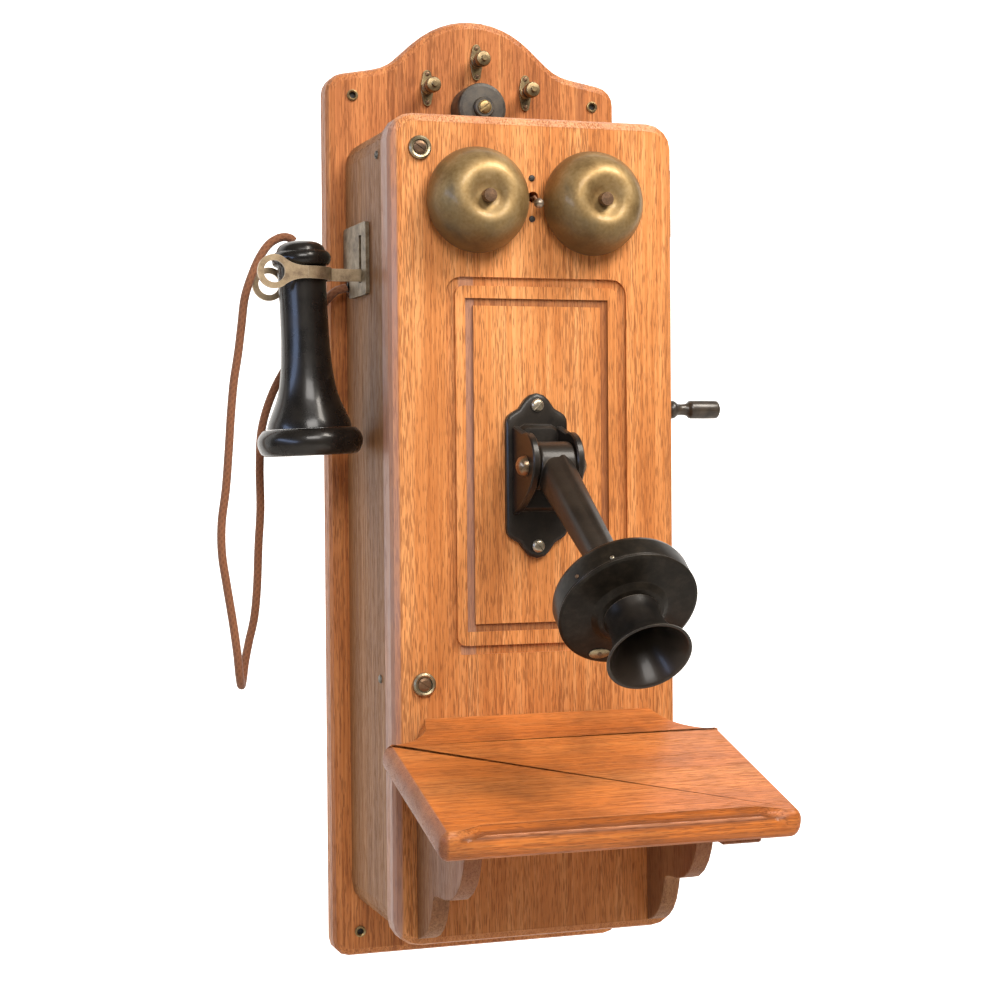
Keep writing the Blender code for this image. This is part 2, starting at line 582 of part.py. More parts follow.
def build_transmitter_base(body):
    """Cast bracket on the door: pointed plate, two ears and the pivot bolt with domed heads."""
    face = DOOR_FRONT - GAP
    x0 = -0.0010
    tip = 0.0575
    half = ([(0.0, -tip)] + arc((0.0, -tip + 0.0080), 0.0080, -60, -30, 1)
            + [(0.0130, -0.0465), (0.0200, -0.0425), (0.0225, -0.0385), (0.0225, 0.0385), (0.0200, 0.0425),
               (0.0130, 0.0465)] + arc((0.0, tip - 0.0080), 0.0080, 30, 60, 1) + [(0.0, tip)])
    outline = [(x0 + x, z) for x, z in mirrored(half)]
    base = plate("transmitter_base", [outline], face - 0.0050, face)
    round_rim(base, 1, 0.0015, 1)
    for name, sign in (("left", -1), ("right", 1)):
        ear = [(face - 0.0030, -0.0270)] + arc((PIVOT_Y, PIVOT_Z), 0.0165, 240, 120, 6) + [(face - 0.0030, 0.0340)]
        ear = list(reversed(ear))
        low, high = sorted((x0 + sign * 0.0133, x0 + sign * 0.0186))
        combine(base, plate("ear_" + name, [ear], low, high, "YZ", CUTTERS))
    cut(base, rod("ear_bore", 0.0033, -0.03, 0.03, (x0, PIVOT_Y, PIVOT_Z), "X", 12, CUTTERS))
    for z in (0.0490, -0.0490):
        label = "top" if z > 0 else "bottom"
        cut(base, rod("base_screw_hole_" + label, 0.0024, -0.01, 0.02, (x0, face, z), "-Y", 12, CUTTERS))
        screw = turned("transmitter_base_screw_" + label, [
            (0, 0.0078), (0.0026, 0.0075), (0.0044, 0.0064), (0.0046, 0.0053), (0.0018, 0.0053),
            (0.0018, 0.0), (0, 0.0)], (x0, face, z), "-Y", 16)
        slot = block("base_screw_slot_" + label, (-0.0060, -0.0005, 0.0010), (0.0060, 0.0005, 0.0040), CUTTERS)
        slot.location = (x0, face - 0.0085, z)
        slot.rotation_euler = (math.pi / 2, math.radians(-45 if z > 0 else 45), 0)
        cut(screw, slot)
        add(screw, "nickel", body)
    add(base, "black_japan", body)
    head = [(0, 0.0246), (0.0030, 0.0240), (0.0054, 0.0220), (0.0064, 0.0190)]
    profile = head + [(0.0028, 0.0190), (0.0028, -0.0190)] + [(r, -h) for r, h in reversed(head)]
    add(turned("transmitter_pivot_bolt", profile, (x0, PIVOT_Y, PIVOT_Z), "X", 16), "brass", body)


def build_transmitter(tilt):
    """Tapered arm, round cup, face plate and flared mouthpiece, all on the bracket's pivot."""
    x0 = -0.0010
    end = Vector(along(-0.0250))
    start = Vector((x0, PIVOT_Y, PIVOT_Z))
    direction = (end - start).normalized()
    pitch = math.atan2(-direction.z, -direction.y)
    length = (end - start).length
    arm = plate("transmitter_arm", [ring(0.0140, 16, (0, 0)), ring(0.0032, 10, (0, 0))],
                x0 - 0.0128, x0 + 0.0128, "YZ")
    arm.location = (x0, PIVOT_Y, PIVOT_Z)
    bm = bmesh.new()
    bmesh.ops.create_cone(bm, cap_ends=True, segments=16, radius1=0.0120, radius2=0.0105, depth=length - 0.0085)
    for vertex in bm.verts:
        vertex.co.y *= 0.80
    taper = bpy.data.meshes.new("arm_taper")
    bm.to_mesh(taper)
    bm.free()
    bar = link("arm_taper", taper, CUTTERS)
    bar.location = start + direction * (0.0085 + (length - 0.0085) / 2)
    bar.rotation_euler = (math.pi / 2 + pitch, 0, 0)
    combine(arm, bar)
    trim = block("arm_trim", (-0.03, -0.03, -0.03), (0.03, 0.03, 0.03), CUTTERS)
    trim.location = along(-0.0280 - GAP + 0.03)
    trim.rotation_euler = cup_frame()
    cut(arm, trim)
    add(arm, "black_japan", tilt)
    cup = turned("transmitter_cup", [
        (0.0, -0.0280), (0.0120, -0.0280), (0.0150, -0.0262), (0.0220, -0.0230), (0.0360, -0.0190),
        (0.0430, -0.0170), (0.0450, -0.0150), (0.0450, -0.0012), (0.0425, -0.0012), (0.0425, -0.0140),
        (0.0, -0.0210)][::-1], along(0), rotation=cup_frame(), steps=26)
    add(cup, "black_japan", tilt)
    face_plate = turned("transmitter_face", [
        (0.0130, 0.0062), (0.0190, 0.0062), (0.0222, 0.0050), (0.0245, 0.0030), (0.0300, 0.0022), (0.0430, 0.0012),
        (CUP_RADIUS, 0.0), (CUP_RADIUS, -0.0008), (0.0300, -0.0008), (0.0230, 0.0006), (0.0200, 0.0030),
        (0.0130, 0.0030)], along(0), rotation=cup_frame(), steps=26, closed=True)
    add(face_plate, "black_japan", tilt)
    outside = [(0.0274, 0.0433), (0.0256, 0.0408), (0.0218, 0.0352), (0.0190, 0.0280), (0.0175, 0.0200),
               (0.0172, 0.0130), (0.0182, 0.0080), (0.0184, 0.0065)]
    inside = [(0.0100, 0.0065), (0.0100, 0.0140), (0.0135, 0.0225), (0.0176, 0.0305), (0.0212, 0.0372),
              (0.0258, 0.0433)]
    add(turned("mouthpiece", outside + inside, along(0), rotation=cup_frame(), steps=24, closed=True),
        "hard_rubber", tilt)


# ---- shelf ------------------------------------------------------------------------------
def build_shelf(body):
    """Sloping writing shelf with cove-cut back corners on two scrolled brackets."""
    cove, shoulder = 0.0300, 0.0395
    half = ([(0.0, SHELF_LENGTH)] + arc((SHELF_HALF - 0.006, SHELF_LENGTH - 0.006), 0.006, 90, 0, 2)
            + [(SHELF_HALF, shoulder)] + arc((SHELF_HALF - 0.0010, 0.0045), cove, 97, 172, 5)
            + [(SHELF_HALF - shoulder, 0.0), (0.0, 0.0)])
    outline = [(x, -d) for x, d in half] + [(-x, -d) for x, d in reversed(half) if x > 1e-9]
    shelf = plate("writing_shelf", [outline], -SHELF_THICK, 0.0, "XY")
    bm = bmesh.new()
    bm.from_mesh(shelf.data)
    bmesh.ops.dissolve_limit(bm, angle_limit=0.01, verts=bm.verts, edges=bm.edges)
    rim = [e for e in bm.edges if all(v.co.y < -shoulder * 0.9 for v in e.verts)
           and abs(e.verts[0].co.z - e.verts[1].co.z) < 1e-7 and any(abs(f.normal.z) < 0.5 for f in e.link_faces)]
    bmesh.ops.bevel(bm, geom=rim, offset=0.005, offset_type="OFFSET", segments=2, profile=0.5, affect="EDGES")
    bm.to_mesh(shelf.data)
    bm.free()
    face = DOOR_FRONT - GAP
    shelf.rotation_euler = (SHELF_SLOPE, 0, 0)
    centre = Vector((0, 0, -SHELF_THICK / 2))
    centre.rotate(Matrix.Rotation(SHELF_SLOPE, 3, "X"))
    shelf.location = Vector((0.0, face, SHELF_Z)) + centre
    trim = block("shelf_back_trim", (-0.2, face, -0.3), (0.2, face + 0.03, -0.1), CUTTERS)
    cut(shelf, trim)
    add(shelf, "oak_door", body)

    drop = SHELF_THICK / math.cos(SHELF_SLOPE) + GAP
    fall = math.tan(SHELF_SLOPE)

    def under(y):
        """Height just under the shelf at a depth y."""
        return SHELF_Z - drop + (y - face) * fall

    nose = -0.2640
    upper = arc((nose + 0.030, -0.2480), 0.030, 180, 258, 5)
    lower = arc((-0.1910 + 0.024, -0.2895), 0.024, 180, 262, 4)
    front = upper + [(-0.1915, -0.2810)] + lower + [(face, -0.3180)]
    for name, (x, depth) in BRACKETS.items():
        edge = [(face + (y - face) * depth, z) for y, z in front]
        outline = [(face, under(face)), (edge[0][0], under(edge[0][0]))] + edge
        bracket = plate("shelf_bracket_" + name, [outline], x - BRACKET_THICK / 2, x + BRACKET_THICK / 2, "YZ")
        add(bracket, "oak_case", body)


# ---- hook and receiver ------------------------------------------------------------------
def build_hook(body):
    """Forked switch hook: a flat bar through the case side, a U-shaped fork and two ring ends."""
    half_height = 0.0044
    thick = 0.0028
    bar = block("hook_lever", (-0.1272, HOOK_Y - thick / 2, HOOK_Z - half_height),
                (HOOK_PIVOT_X, HOOK_Y + thick / 2, HOOK_Z + half_height))
    boss = [(0, 0.0062), (0.0022, 0.0062), (0.0022, 0.0030), (0.0060, 0.0030), (0.0060, -0.0030),
            (0.0022, -0.0030), (0.0022, -0.0062), (0, -0.0062)]
    combine(bar, turned("hook_boss", boss, (HOOK_PIVOT_X, HOOK_Y, HOOK_Z), "-Y", 14))
    eyes = {"front": (-1, RECEIVER_X - 0.0242, HOOK_Z), "back": (1, RECEIVER_X - 0.0195, HOOK_Z - 0.0058)}
    end = {name: eye[1] + 0.0080 for name, eye in eyes.items()}
    outline = arc((RECEIVER_X, HOOK_Y), FORK_OUTER, -90, 90, 10)
    outline += [(end["back"], HOOK_Y + FORK_OUTER), (end["back"], HOOK_Y + FORK_INNER)]
    outline += arc((RECEIVER_X, HOOK_Y), FORK_INNER, 90, -90, 10)
    outline += [(end["front"], HOOK_Y - FORK_INNER), (end["front"], HOOK_Y - FORK_OUTER)]
    combine(bar, plate("hook_fork", [outline], HOOK_Z - half_height, HOOK_Z + half_height, "XY", CUTTERS))
    middle = (FORK_INNER + FORK_OUTER) / 2
    for name, (sign, x, z) in eyes.items():
        y = HOOK_Y + sign * middle
        eye = plate("hook_eye_" + name, [ring(0.0120, 20, (x, z)), ring(0.0077, 16, (x, z))],
                    y - thick / 2 + 0.0001, y + thick / 2 - 0.0001, group=CUTTERS)
        combine(bar, eye)
    add(bar, "nickel", body)


def build_hook_mount():
    """Slotted plate outside the case, and the pivot bracket with its switch springs inside."""
    outer = -(CASE_HALF + GAP)
    notch_y, notch_z = -0.0405, 0.1480
    outline = rounded(-0.0868, -0.0238, 0.1300, 0.1820, 0.0030, 2)
    slot = rectangle(HOOK_Y - 0.0033, HOOK_Y + 0.0033, 0.1392, 0.1735)
    plate_obj = plate("hook_escutcheon", [outline, slot], outer - 0.0027, outer, "YZ")
    cut(plate_obj, block("escutcheon_notch", (-0.2, notch_y, 0.10), (0.0, 0.0, notch_z), CUTTERS))
    add(plate_obj, "steel")
    inner = -(CASE_HALF - CASE_WALL) + GAP
    cheek_low, cheek_high = 0.1240, 0.1560
    frame = block("hook_switch", (inner, HOOK_Y - 0.0160, cheek_low), (inner + 0.0030, HOOK_Y + 0.0160, 0.1340))
    for name, sign in (("front", -1), ("back", 1)):
        y0, y1 = sorted((HOOK_Y + sign * 0.0066, HOOK_Y + sign * 0.0090))
        combine(frame, block("hook_cheek_" + name, (inner + 0.0005, y0, cheek_low), (-0.0500, y1, cheek_high)))
        cut(frame, rod("hook_cheek_bore_" + name, 0.0025, -0.02, 0.02, (HOOK_PIVOT_X, HOOK_Y, HOOK_Z), "-Y", 10,
                       CUTTERS))
    combine(frame, block("hook_spring_block", (inner + 0.0005, HOOK_Y - 0.0080, cheek_low),
                         (-0.0520, HOOK_Y + 0.0080, cheek_low + 0.0050)))
    add(frame, "steel")
    bushing = turned("cord_bushing", [
        (0.0064, 0.0016), (0.0078, 0.0008), (0.0078, 0.0), (0.0054, 0.0), (0.0054, -0.0115), (0.0036, -0.0115),
        (0.0036, 0.0010), (0.0046, 0.0016)], (outer, CORD_HOLE_Y, CORD_HOLE_Z), "-X", 16, closed=True)
    add(bushing, "hard_rubber")


def build_receiver(body):
    """Bell-shaped hard rubber receiver hanging by its tail cap, with its screwed ear cap below."""
    lean = (0, RECEIVER_LEAN, 0)
    place = (RECEIVER_X, HOOK_Y, RECEIVER_SEAT)
    seat = -0.1155                         # top of the ear cap, measured along the axis from the shoulder
    profile = [
        (0.0, 0.0183), (0.0080, 0.0178), (0.0140, 0.0155), (0.0168, 0.0120), (0.0173, 0.0105), (0.0195, 0.0092),
        (0.0210, 0.0065), (0.0212, 0.0045), (0.0205, 0.0018), (0.0190, 0.0), (0.0172, 0.0), (0.0170, -0.0140),
        (0.0172, -0.0500), (0.0180, -0.0680), (0.0192, -0.0790), (0.0215, -0.0910), (0.0248, -0.1010),
        (0.0290, -0.1105), (0.0303, seat + GAP), (0.0, seat + GAP)]
    add(turned("receiver_body", profile, place, steps=20, rotation=lean), "hard_rubber", body)
    bottom = seat - 0.0192
    cap = [(0.0, seat), (0.0315, seat), (0.0335, seat - 0.0006), (0.0365, seat - 0.0045), (0.0376, seat - 0.0085),
           (0.0374, seat - 0.0125), (0.0350, bottom + 0.0022), (0.0305, bottom), (0.0275, bottom + 0.0006),
           (0.0150, bottom + 0.0032), (0.0, bottom + 0.0034)]
    add(turned("receiver_ear_cap", cap, place, steps=24, rotation=lean), "hard_rubber", body)


# The cord's own route, from the tail of the receiver round to the bushing in the case side.
CORD_ROUTE = [
    (-0.1494, -0.0588, 0.1690), (-0.1530, -0.0580, 0.1717), (-0.1592, -0.0575, 0.1716),
    (-0.1672, -0.0578, 0.1670), (-0.1740, -0.0585, 0.1580), (-0.1802, -0.0590, 0.1450),
    (-0.1858, -0.0592, 0.1280), (-0.1885, -0.0595, 0.1080), (-0.1912, -0.0598, 0.0880),
    (-0.1945, -0.0600, 0.0680), (-0.1968, -0.0600, 0.0450), (-0.1986, -0.0600, 0.0200),
    (-0.2010, -0.0600, -0.0080), (-0.2042, -0.0600, -0.0320), (-0.2043, -0.0603, -0.0540),
    (-0.2010, -0.0608, -0.0780), (-0.1973, -0.0612, -0.1020), (-0.1942, -0.0608, -0.1250),
    (-0.1922, -0.0580, -0.1410), (-0.1893, -0.0500, -0.1495), (-0.1862, -0.0405, -0.1460),
    (-0.1832, -0.0345, -0.1340), (-0.1800, -0.0330, -0.1200), (-0.1757, -0.0325, -0.1020),
    (-0.1732, -0.0315, -0.0800), (-0.1716, -0.0305, -0.0500), (-0.1698, -0.0300, -0.0230),
    (-0.1700, -0.0300, 0.0080), (-0.1680, -0.0300, 0.0360), (-0.1585, -0.0295, 0.0640),
    (-0.1420, -0.0290, 0.0920), (-0.1245, -0.0300, 0.1215), (-0.1138, -0.0315, 0.1350),
    (-0.1040, -0.0320, 0.1390),
]


def smooth_route(points, spacing):
    """Evenly spaced points on a smooth curve through a route's own points."""
    rail = [Vector(p) for p in points]
    rail = [2 * rail[0] - rail[1]] + rail + [2 * rail[-1] - rail[-2]]
    dense = []
    for a, b, c, d in zip(rail, rail[1:], rail[2:], rail[3:]):
        for i in range(12):
            t = i / 12
            dense.append(0.5 * (2 * b + (c - a) * t + (2 * a - 5 * b + 4 * c - d) * t * t
                                + (3 * b - a - 3 * c + d) * t ** 3))
    dense.append(rail[-2])
    total = sum((q - p).length for p, q in zip(dense, dense[1:]))
    count = round(total / spacing)
    wanted = [total * i / count for i in range(count + 1)]
    even, walked, index = [], 0.0, 0
    for mark in wanted:
        while index < len(dense) - 2 and walked + (dense[index + 1] - dense[index]).length < mark:
            walked += (dense[index + 1] - dense[index]).length
            index += 1
        step = (dense[index + 1] - dense[index]).length
        even.append(dense[index].lerp(dense[index + 1], min(1.0, (mark - walked) / step)))
    return even


def build_cord():
    curve = bpy.data.curves.new("receiver_cord", "CURVE")
    curve.dimensions = "3D"
    curve.bevel_depth = CORD_RADIUS
    curve.bevel_resolution = 2
    curve.use_fill_caps = True
    spline = curve.splines.new("POLY")
    route = smooth_route(CORD_ROUTE, 0.0135)
    spline.points.add(len(route) - 1)
    for point, place in zip(spline.points, route):
        point.co = (*place, 1)
    add(link("receiver_cord", curve), "cord_cloth")


# ---- magneto ----------------------------------------------------------------------------
def gear_outline(teeth, phase):
    """Straight-flanked teeth, one of them centred on the phase."""
    pitch_radius = MODULE * teeth / 2
    tip, root = pitch_radius + 0.85 * MODULE, pitch_radius - 1.15 * MODULE
    half = math.pi / (2 * teeth) * TOOTH_SHARE
    lean = math.tan(math.radians(20)) * MODULE / pitch_radius
    points = []
    for k in range(teeth):
        middle = phase + math.tau * k / teeth
        for radius, angle in ((root, -half - 1.0 * lean), (tip, -half + 0.85 * lean),
                              (tip, half - 0.85 * lean), (root, half + 1.0 * lean)):
            points.append((radius * math.cos(middle + angle), radius * math.sin(middle + angle)))
    return points


def build_crank(turn, spin):
    """Shaft with the large gear inside, and outside the arm and its turned wooden grip."""
    end = 0.1204
    shaft = rod("crank_shaft", SHAFT_RADIUS, -0.0680, end, (0, CRANK_Y, CRANK_Z), "X", 16)
    add(shaft, "steel", turn)
    gear = plate("drive_gear", [[(CRANK_Y + u, CRANK_Z + v) for u, v in
                                 gear_outline(GEAR_TEETH, -math.pi / 2)],
                                ring(SHAFT_RADIUS + GAP, 16, (CRANK_Y, CRANK_Z))], 0.0660, 0.0700, "YZ")
    add(gear, "brass", turn)
    low_z = CRANK_Z - CRANK_ARM
    arm = (arc((CRANK_Y, CRANK_Z), 0.0085, 0, 180, 7) + arc((CRANK_Y, low_z), 0.0065, 180, 360, 6))
    crank = plate("crank_arm", [arm, ring(SHAFT_RADIUS + GAP, 16, (CRANK_Y, CRANK_Z))], 0.1166, 0.1202, "YZ")
    stud = turned("grip_stud", [
        (0, 0.1760), (0.0036, 0.1757), (0.0040, 0.1748), (0.0022, 0.1748), (0.0022, 0.1180), (0, 0.1180)],
        (0, CRANK_Y, low_z), "X", 12)
    add(combine(crank, stud), "steel", turn)
    grip = [(0.0062, 0.1744), (0.0068, 0.1732), (0.0069, 0.1520), (0.0062, 0.1508), (0.0046, 0.1490),
            (0.0042, 0.1440), (0.0050, 0.1405), (0.0066, 0.1385), (0.0070, 0.1365), (0.0060, 0.1345),
            (0.0048, 0.1320), (0.0056, 0.1225), (0.0062, 0.1206), (0.0025, 0.1206), (0.0025, 0.1744)]
    add(turned("crank_grip", grip, (0, CRANK_Y, low_z), "X", 16, closed=True), "black_japan", spin)
    outer = CASE_HALF + GAP
    bushing = turned("crank_bushing", [
        (0.0090, 0.0030), (0.0125, 0.0018), (0.0130, 0.0), (0.0082, 0.0), (0.0082, -0.0120), (0.0043, -0.0120),
        (0.0043, 0.0030)], (outer, CRANK_Y, CRANK_Z), "X", 20, closed=True)
    add(bushing, "brass")


def build_magneto(rotor_body):
    """Generator: cast frame with pole pieces, two horseshoe magnets and the wound armature."""
    low_y, high_y = CRANK_Y - 0.0300, CRANK_Y + 0.0300
    base_z = 0.0340
    frame = block("magneto_frame", (-0.0730, low_y - 0.0010, base_z - 0.0040), (0.0650, -0.0230, base_z))
    combine(frame, block("magneto_foot", (-0.0715, -0.0250, base_z - 0.0300), (0.0635, -0.0206, base_z - 0.0010)))
    for name, x in (("left", -0.0720), ("right", 0.0600)):
        wall = [(low_y, base_z - 0.0020), (high_y, base_z - 0.0020), (high_y, ARMATURE_Z + 0.0200)]
        wall += arc((CRANK_Y, CRANK_Z), 0.0120, 20, 160, 5) + [(low_y, ARMATURE_Z + 0.0200)]
        combine(frame, plate("magneto_end_" + name, [wall, ring(SHAFT_RADIUS + GAP, 14, (CRANK_Y, CRANK_Z)),
                                                     ring(0.0033, 12, (CRANK_Y, ARMATURE_Z))],
                             x, x + 0.0040, "YZ", CUTTERS))
    for name, sign in (("front", -1), ("back", 1)):
        y0, y1 = sorted((CRANK_Y + sign * 0.0080, CRANK_Y + sign * 0.0302))
        combine(frame, block("pole_" + name, (-0.0560, y0, base_z - 0.0020), (0.0500, y1, ARMATURE_Z + 0.0180)))
    cut(frame, rod("rotor_bore", 0.0180, -0.0565, 0.0505, (0, CRANK_Y, ARMATURE_Z), "X", 24, CUTTERS))
    add(frame, "steel")
    for name, x in (("left", -0.0500), ("right", 0.0060)):
        reach_in, reach_out = 0.0305, 0.0385
        bend_z = 0.0960
        outline = [(CRANK_Y + reach_out, 0.0440)] + arc((CRANK_Y, bend_z), reach_out, 0, 180, 12)
        outline += [(CRANK_Y - reach_out, 0.0440), (CRANK_Y - reach_in, 0.0440)]
        outline += arc((CRANK_Y, bend_z), reach_in, 180, 0, 12) + [(CRANK_Y + reach_in, 0.0440)]
        add(plate("magneto_magnet_" + name, [outline], x, x + 0.0380, "YZ"), "magnet")
    rotor = turned("magneto_armature", [
        (0, 0.0726), (0.0030, 0.0726), (0.0030, 0.0480), (0.0165, 0.0480), (0.0165, -0.0540), (0.0030, -0.0540),
        (0.0030, -0.0700), (0, -0.0700)], (0, CRANK_Y, ARMATURE_Z), "X", 20)
    pinion = plate("pinion", [[(CRANK_Y + u, ARMATURE_Z + v) for u, v in
                               gear_outline(PINION_TEETH, math.pi / 2 + math.pi / PINION_TEETH)]],
                   0.0656, 0.0704, "YZ", CUTTERS)
    combine(rotor, pinion)
    add(rotor, "steel", rotor_body)


def build_battery():
    """Two dry cells standing on the case floor and the induction coil on the backboard."""
    floor = CASE_BOTTOM + CASE_WALL + GAP
    radius = 0.0325
    for name, x in (("left", -0.0345), ("right", 0.0345)):
        cell = turned("dry_cell_" + name, [
            (0, 0.1660), (0.0030, 0.1660), (0.0030, 0.1600), (0.0075, 0.1590), (0.0080, 0.1530), (0.0300, 0.1525),
            (radius, 0.1560), (radius, 0.0015), (0.0310, 0.0), (0, 0.0)],
            (x, CASE_BACK - radius - GAP, floor), "Z", 24)
        add(cell, "cell_card")
    coil = turned("induction_coil", [
        (0, 0.0500), (0.0170, 0.0500), (0.0170, 0.0440), (0.0130, 0.0440), (0.0130, -0.0440), (0.0170, -0.0440),
        (0.0170, -0.0500), (0, -0.0500)], (0, CASE_BACK - 0.0170 - GAP, -0.0450), "X", 20)
    add(coil, "coil")


# ---- assembly ---------------------------------------------------------------------------
door_axis = pivot("door_axis", (HINGE_X, HINGE_Y, 0.0))
clapper_axis = pivot("clapper_axis", (CLAPPER_X, CLAPPER_PIVOT_Y, CLAPPER_Z), door_axis)
tilt_axis = pivot("transmitter_axis", (0.0, PIVOT_Y, PIVOT_Z), door_axis)
hook_axis = pivot("hook_axis", (HOOK_PIVOT_X, HOOK_Y, HOOK_Z))
receiver_place = pivot("receiver_place", (RECEIVER_X, HOOK_Y, RECEIVER_SEAT))
crank_axis = pivot("crank_axis", (0.0, CRANK_Y, CRANK_Z))
grip_axis = pivot("grip_axis", (0.0, CRANK_Y, CRANK_Z - CRANK_ARM), crank_axis)
armature_axis = pivot("armature_axis", (0.0, CRANK_Y, ARMATURE_Z))

build_backboard()
build_case()
drill_case()
build_board_fittings()
build_door(door_axis)
build_door_screws(door_axis)
build_hinges(door_axis)
build_gongs(door_axis)
build_ringer(door_axis, clapper_axis)
build_transmitter_base(door_axis)
build_transmitter(tilt_axis)
build_shelf(door_axis)
build_hook(hook_axis)
build_hook_mount()
build_receiver(receiver_place)
build_cord()
build_crank(crank_axis, grip_axis)
build_magneto(armature_axis)
build_battery()

for piece in PARTS.objects:
    if piece.type == "MESH":
        piece.data.shade_smooth()
        piece.data.set_sharp_from_angle(angle=math.radians(35))
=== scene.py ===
import math

import bmesh
import bpy
from mathutils import Euler, Matrix, Vector


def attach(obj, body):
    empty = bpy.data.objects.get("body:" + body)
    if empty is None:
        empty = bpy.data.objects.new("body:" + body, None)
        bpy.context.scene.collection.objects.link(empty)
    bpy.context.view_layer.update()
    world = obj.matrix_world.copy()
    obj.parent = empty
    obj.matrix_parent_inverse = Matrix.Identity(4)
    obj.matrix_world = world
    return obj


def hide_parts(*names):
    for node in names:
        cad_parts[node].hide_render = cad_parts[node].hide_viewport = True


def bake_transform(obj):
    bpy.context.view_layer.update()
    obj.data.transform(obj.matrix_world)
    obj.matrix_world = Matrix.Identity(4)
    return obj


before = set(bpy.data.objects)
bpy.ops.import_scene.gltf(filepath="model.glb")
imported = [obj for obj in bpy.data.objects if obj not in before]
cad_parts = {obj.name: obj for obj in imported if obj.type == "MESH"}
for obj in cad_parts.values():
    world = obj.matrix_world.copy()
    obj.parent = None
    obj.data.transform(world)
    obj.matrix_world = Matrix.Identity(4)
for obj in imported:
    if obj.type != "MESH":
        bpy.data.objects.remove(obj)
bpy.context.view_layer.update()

# ---- viewpoint ----------------------------------------------------------------------------
# The telephone is seen from a little to the left of its front, level with its middle, by a
# long lens about a metre and a half away.
yaw, pitch, roll = (math.radians(angle) for angle in (18.64819, -1.20865, -0.43964))
ahead = Vector((math.sin(yaw) * math.cos(pitch), math.cos(yaw) * math.cos(pitch), math.sin(pitch)))
level = Vector((math.cos(yaw), -math.sin(yaw), 0.0))
above = level.cross(ahead)
across = level * math.cos(roll) + above * math.sin(roll)
upright = above * math.cos(roll) - level * math.sin(roll)
camera = bpy.data.objects.new("viewpoint", bpy.data.cameras.new("viewpoint"))
camera.data.lens = 74.253
camera.data.sensor_width = 36.0
camera.matrix_world = (Matrix.Translation((-0.48524, -1.51165, 0.01358))
                       @ Matrix((across, upright, -ahead)).transposed().to_4x4())
bpy.context.scene.collection.objects.link(camera)
bpy.context.scene.camera = camera
bpy.context.scene.view_settings.view_transform = "Standard"


# ---- receiver cord ------------------------------------------------------------------------
# A braided cotton cord about 6 mm thick. One strand hangs from the receiver's tail, and the other
# rises from the bottom of the loop to the bushing in the case side.
class Value:
    """A shader socket that takes part in Python sums; each operator adds its Math node."""

    def __init__(self, finish, socket):
        self.finish, self.socket = finish, socket

    def maths(self, operation, first, second, clamp=False):
        return self.finish.node("ShaderNodeMath", {"operation": operation, "use_clamp": clamp},
                                {0: first, 1: second})

    def __add__(self, other):
        return self.maths("ADD", self, other)

    def __sub__(self, other):
        return self.maths("SUBTRACT", self, other)

    def __rsub__(self, other):
        return self.maths("SUBTRACT", other, self)

    def __mul__(self, other):
        return self.maths("MULTIPLY", self, other)

    def __truediv__(self, other):
        return self.maths("DIVIDE", self, other)

    def __pow__(self, other):
        return self.maths("POWER", self, other)

    def __abs__(self):
        return self.maths("ABSOLUTE", self, 0.0)

    __radd__, __rmul__ = __add__, __mul__

    def held(self):
        """The value kept between 0 and 1."""
        return self.maths("ADD", self, 0.0, clamp=True)


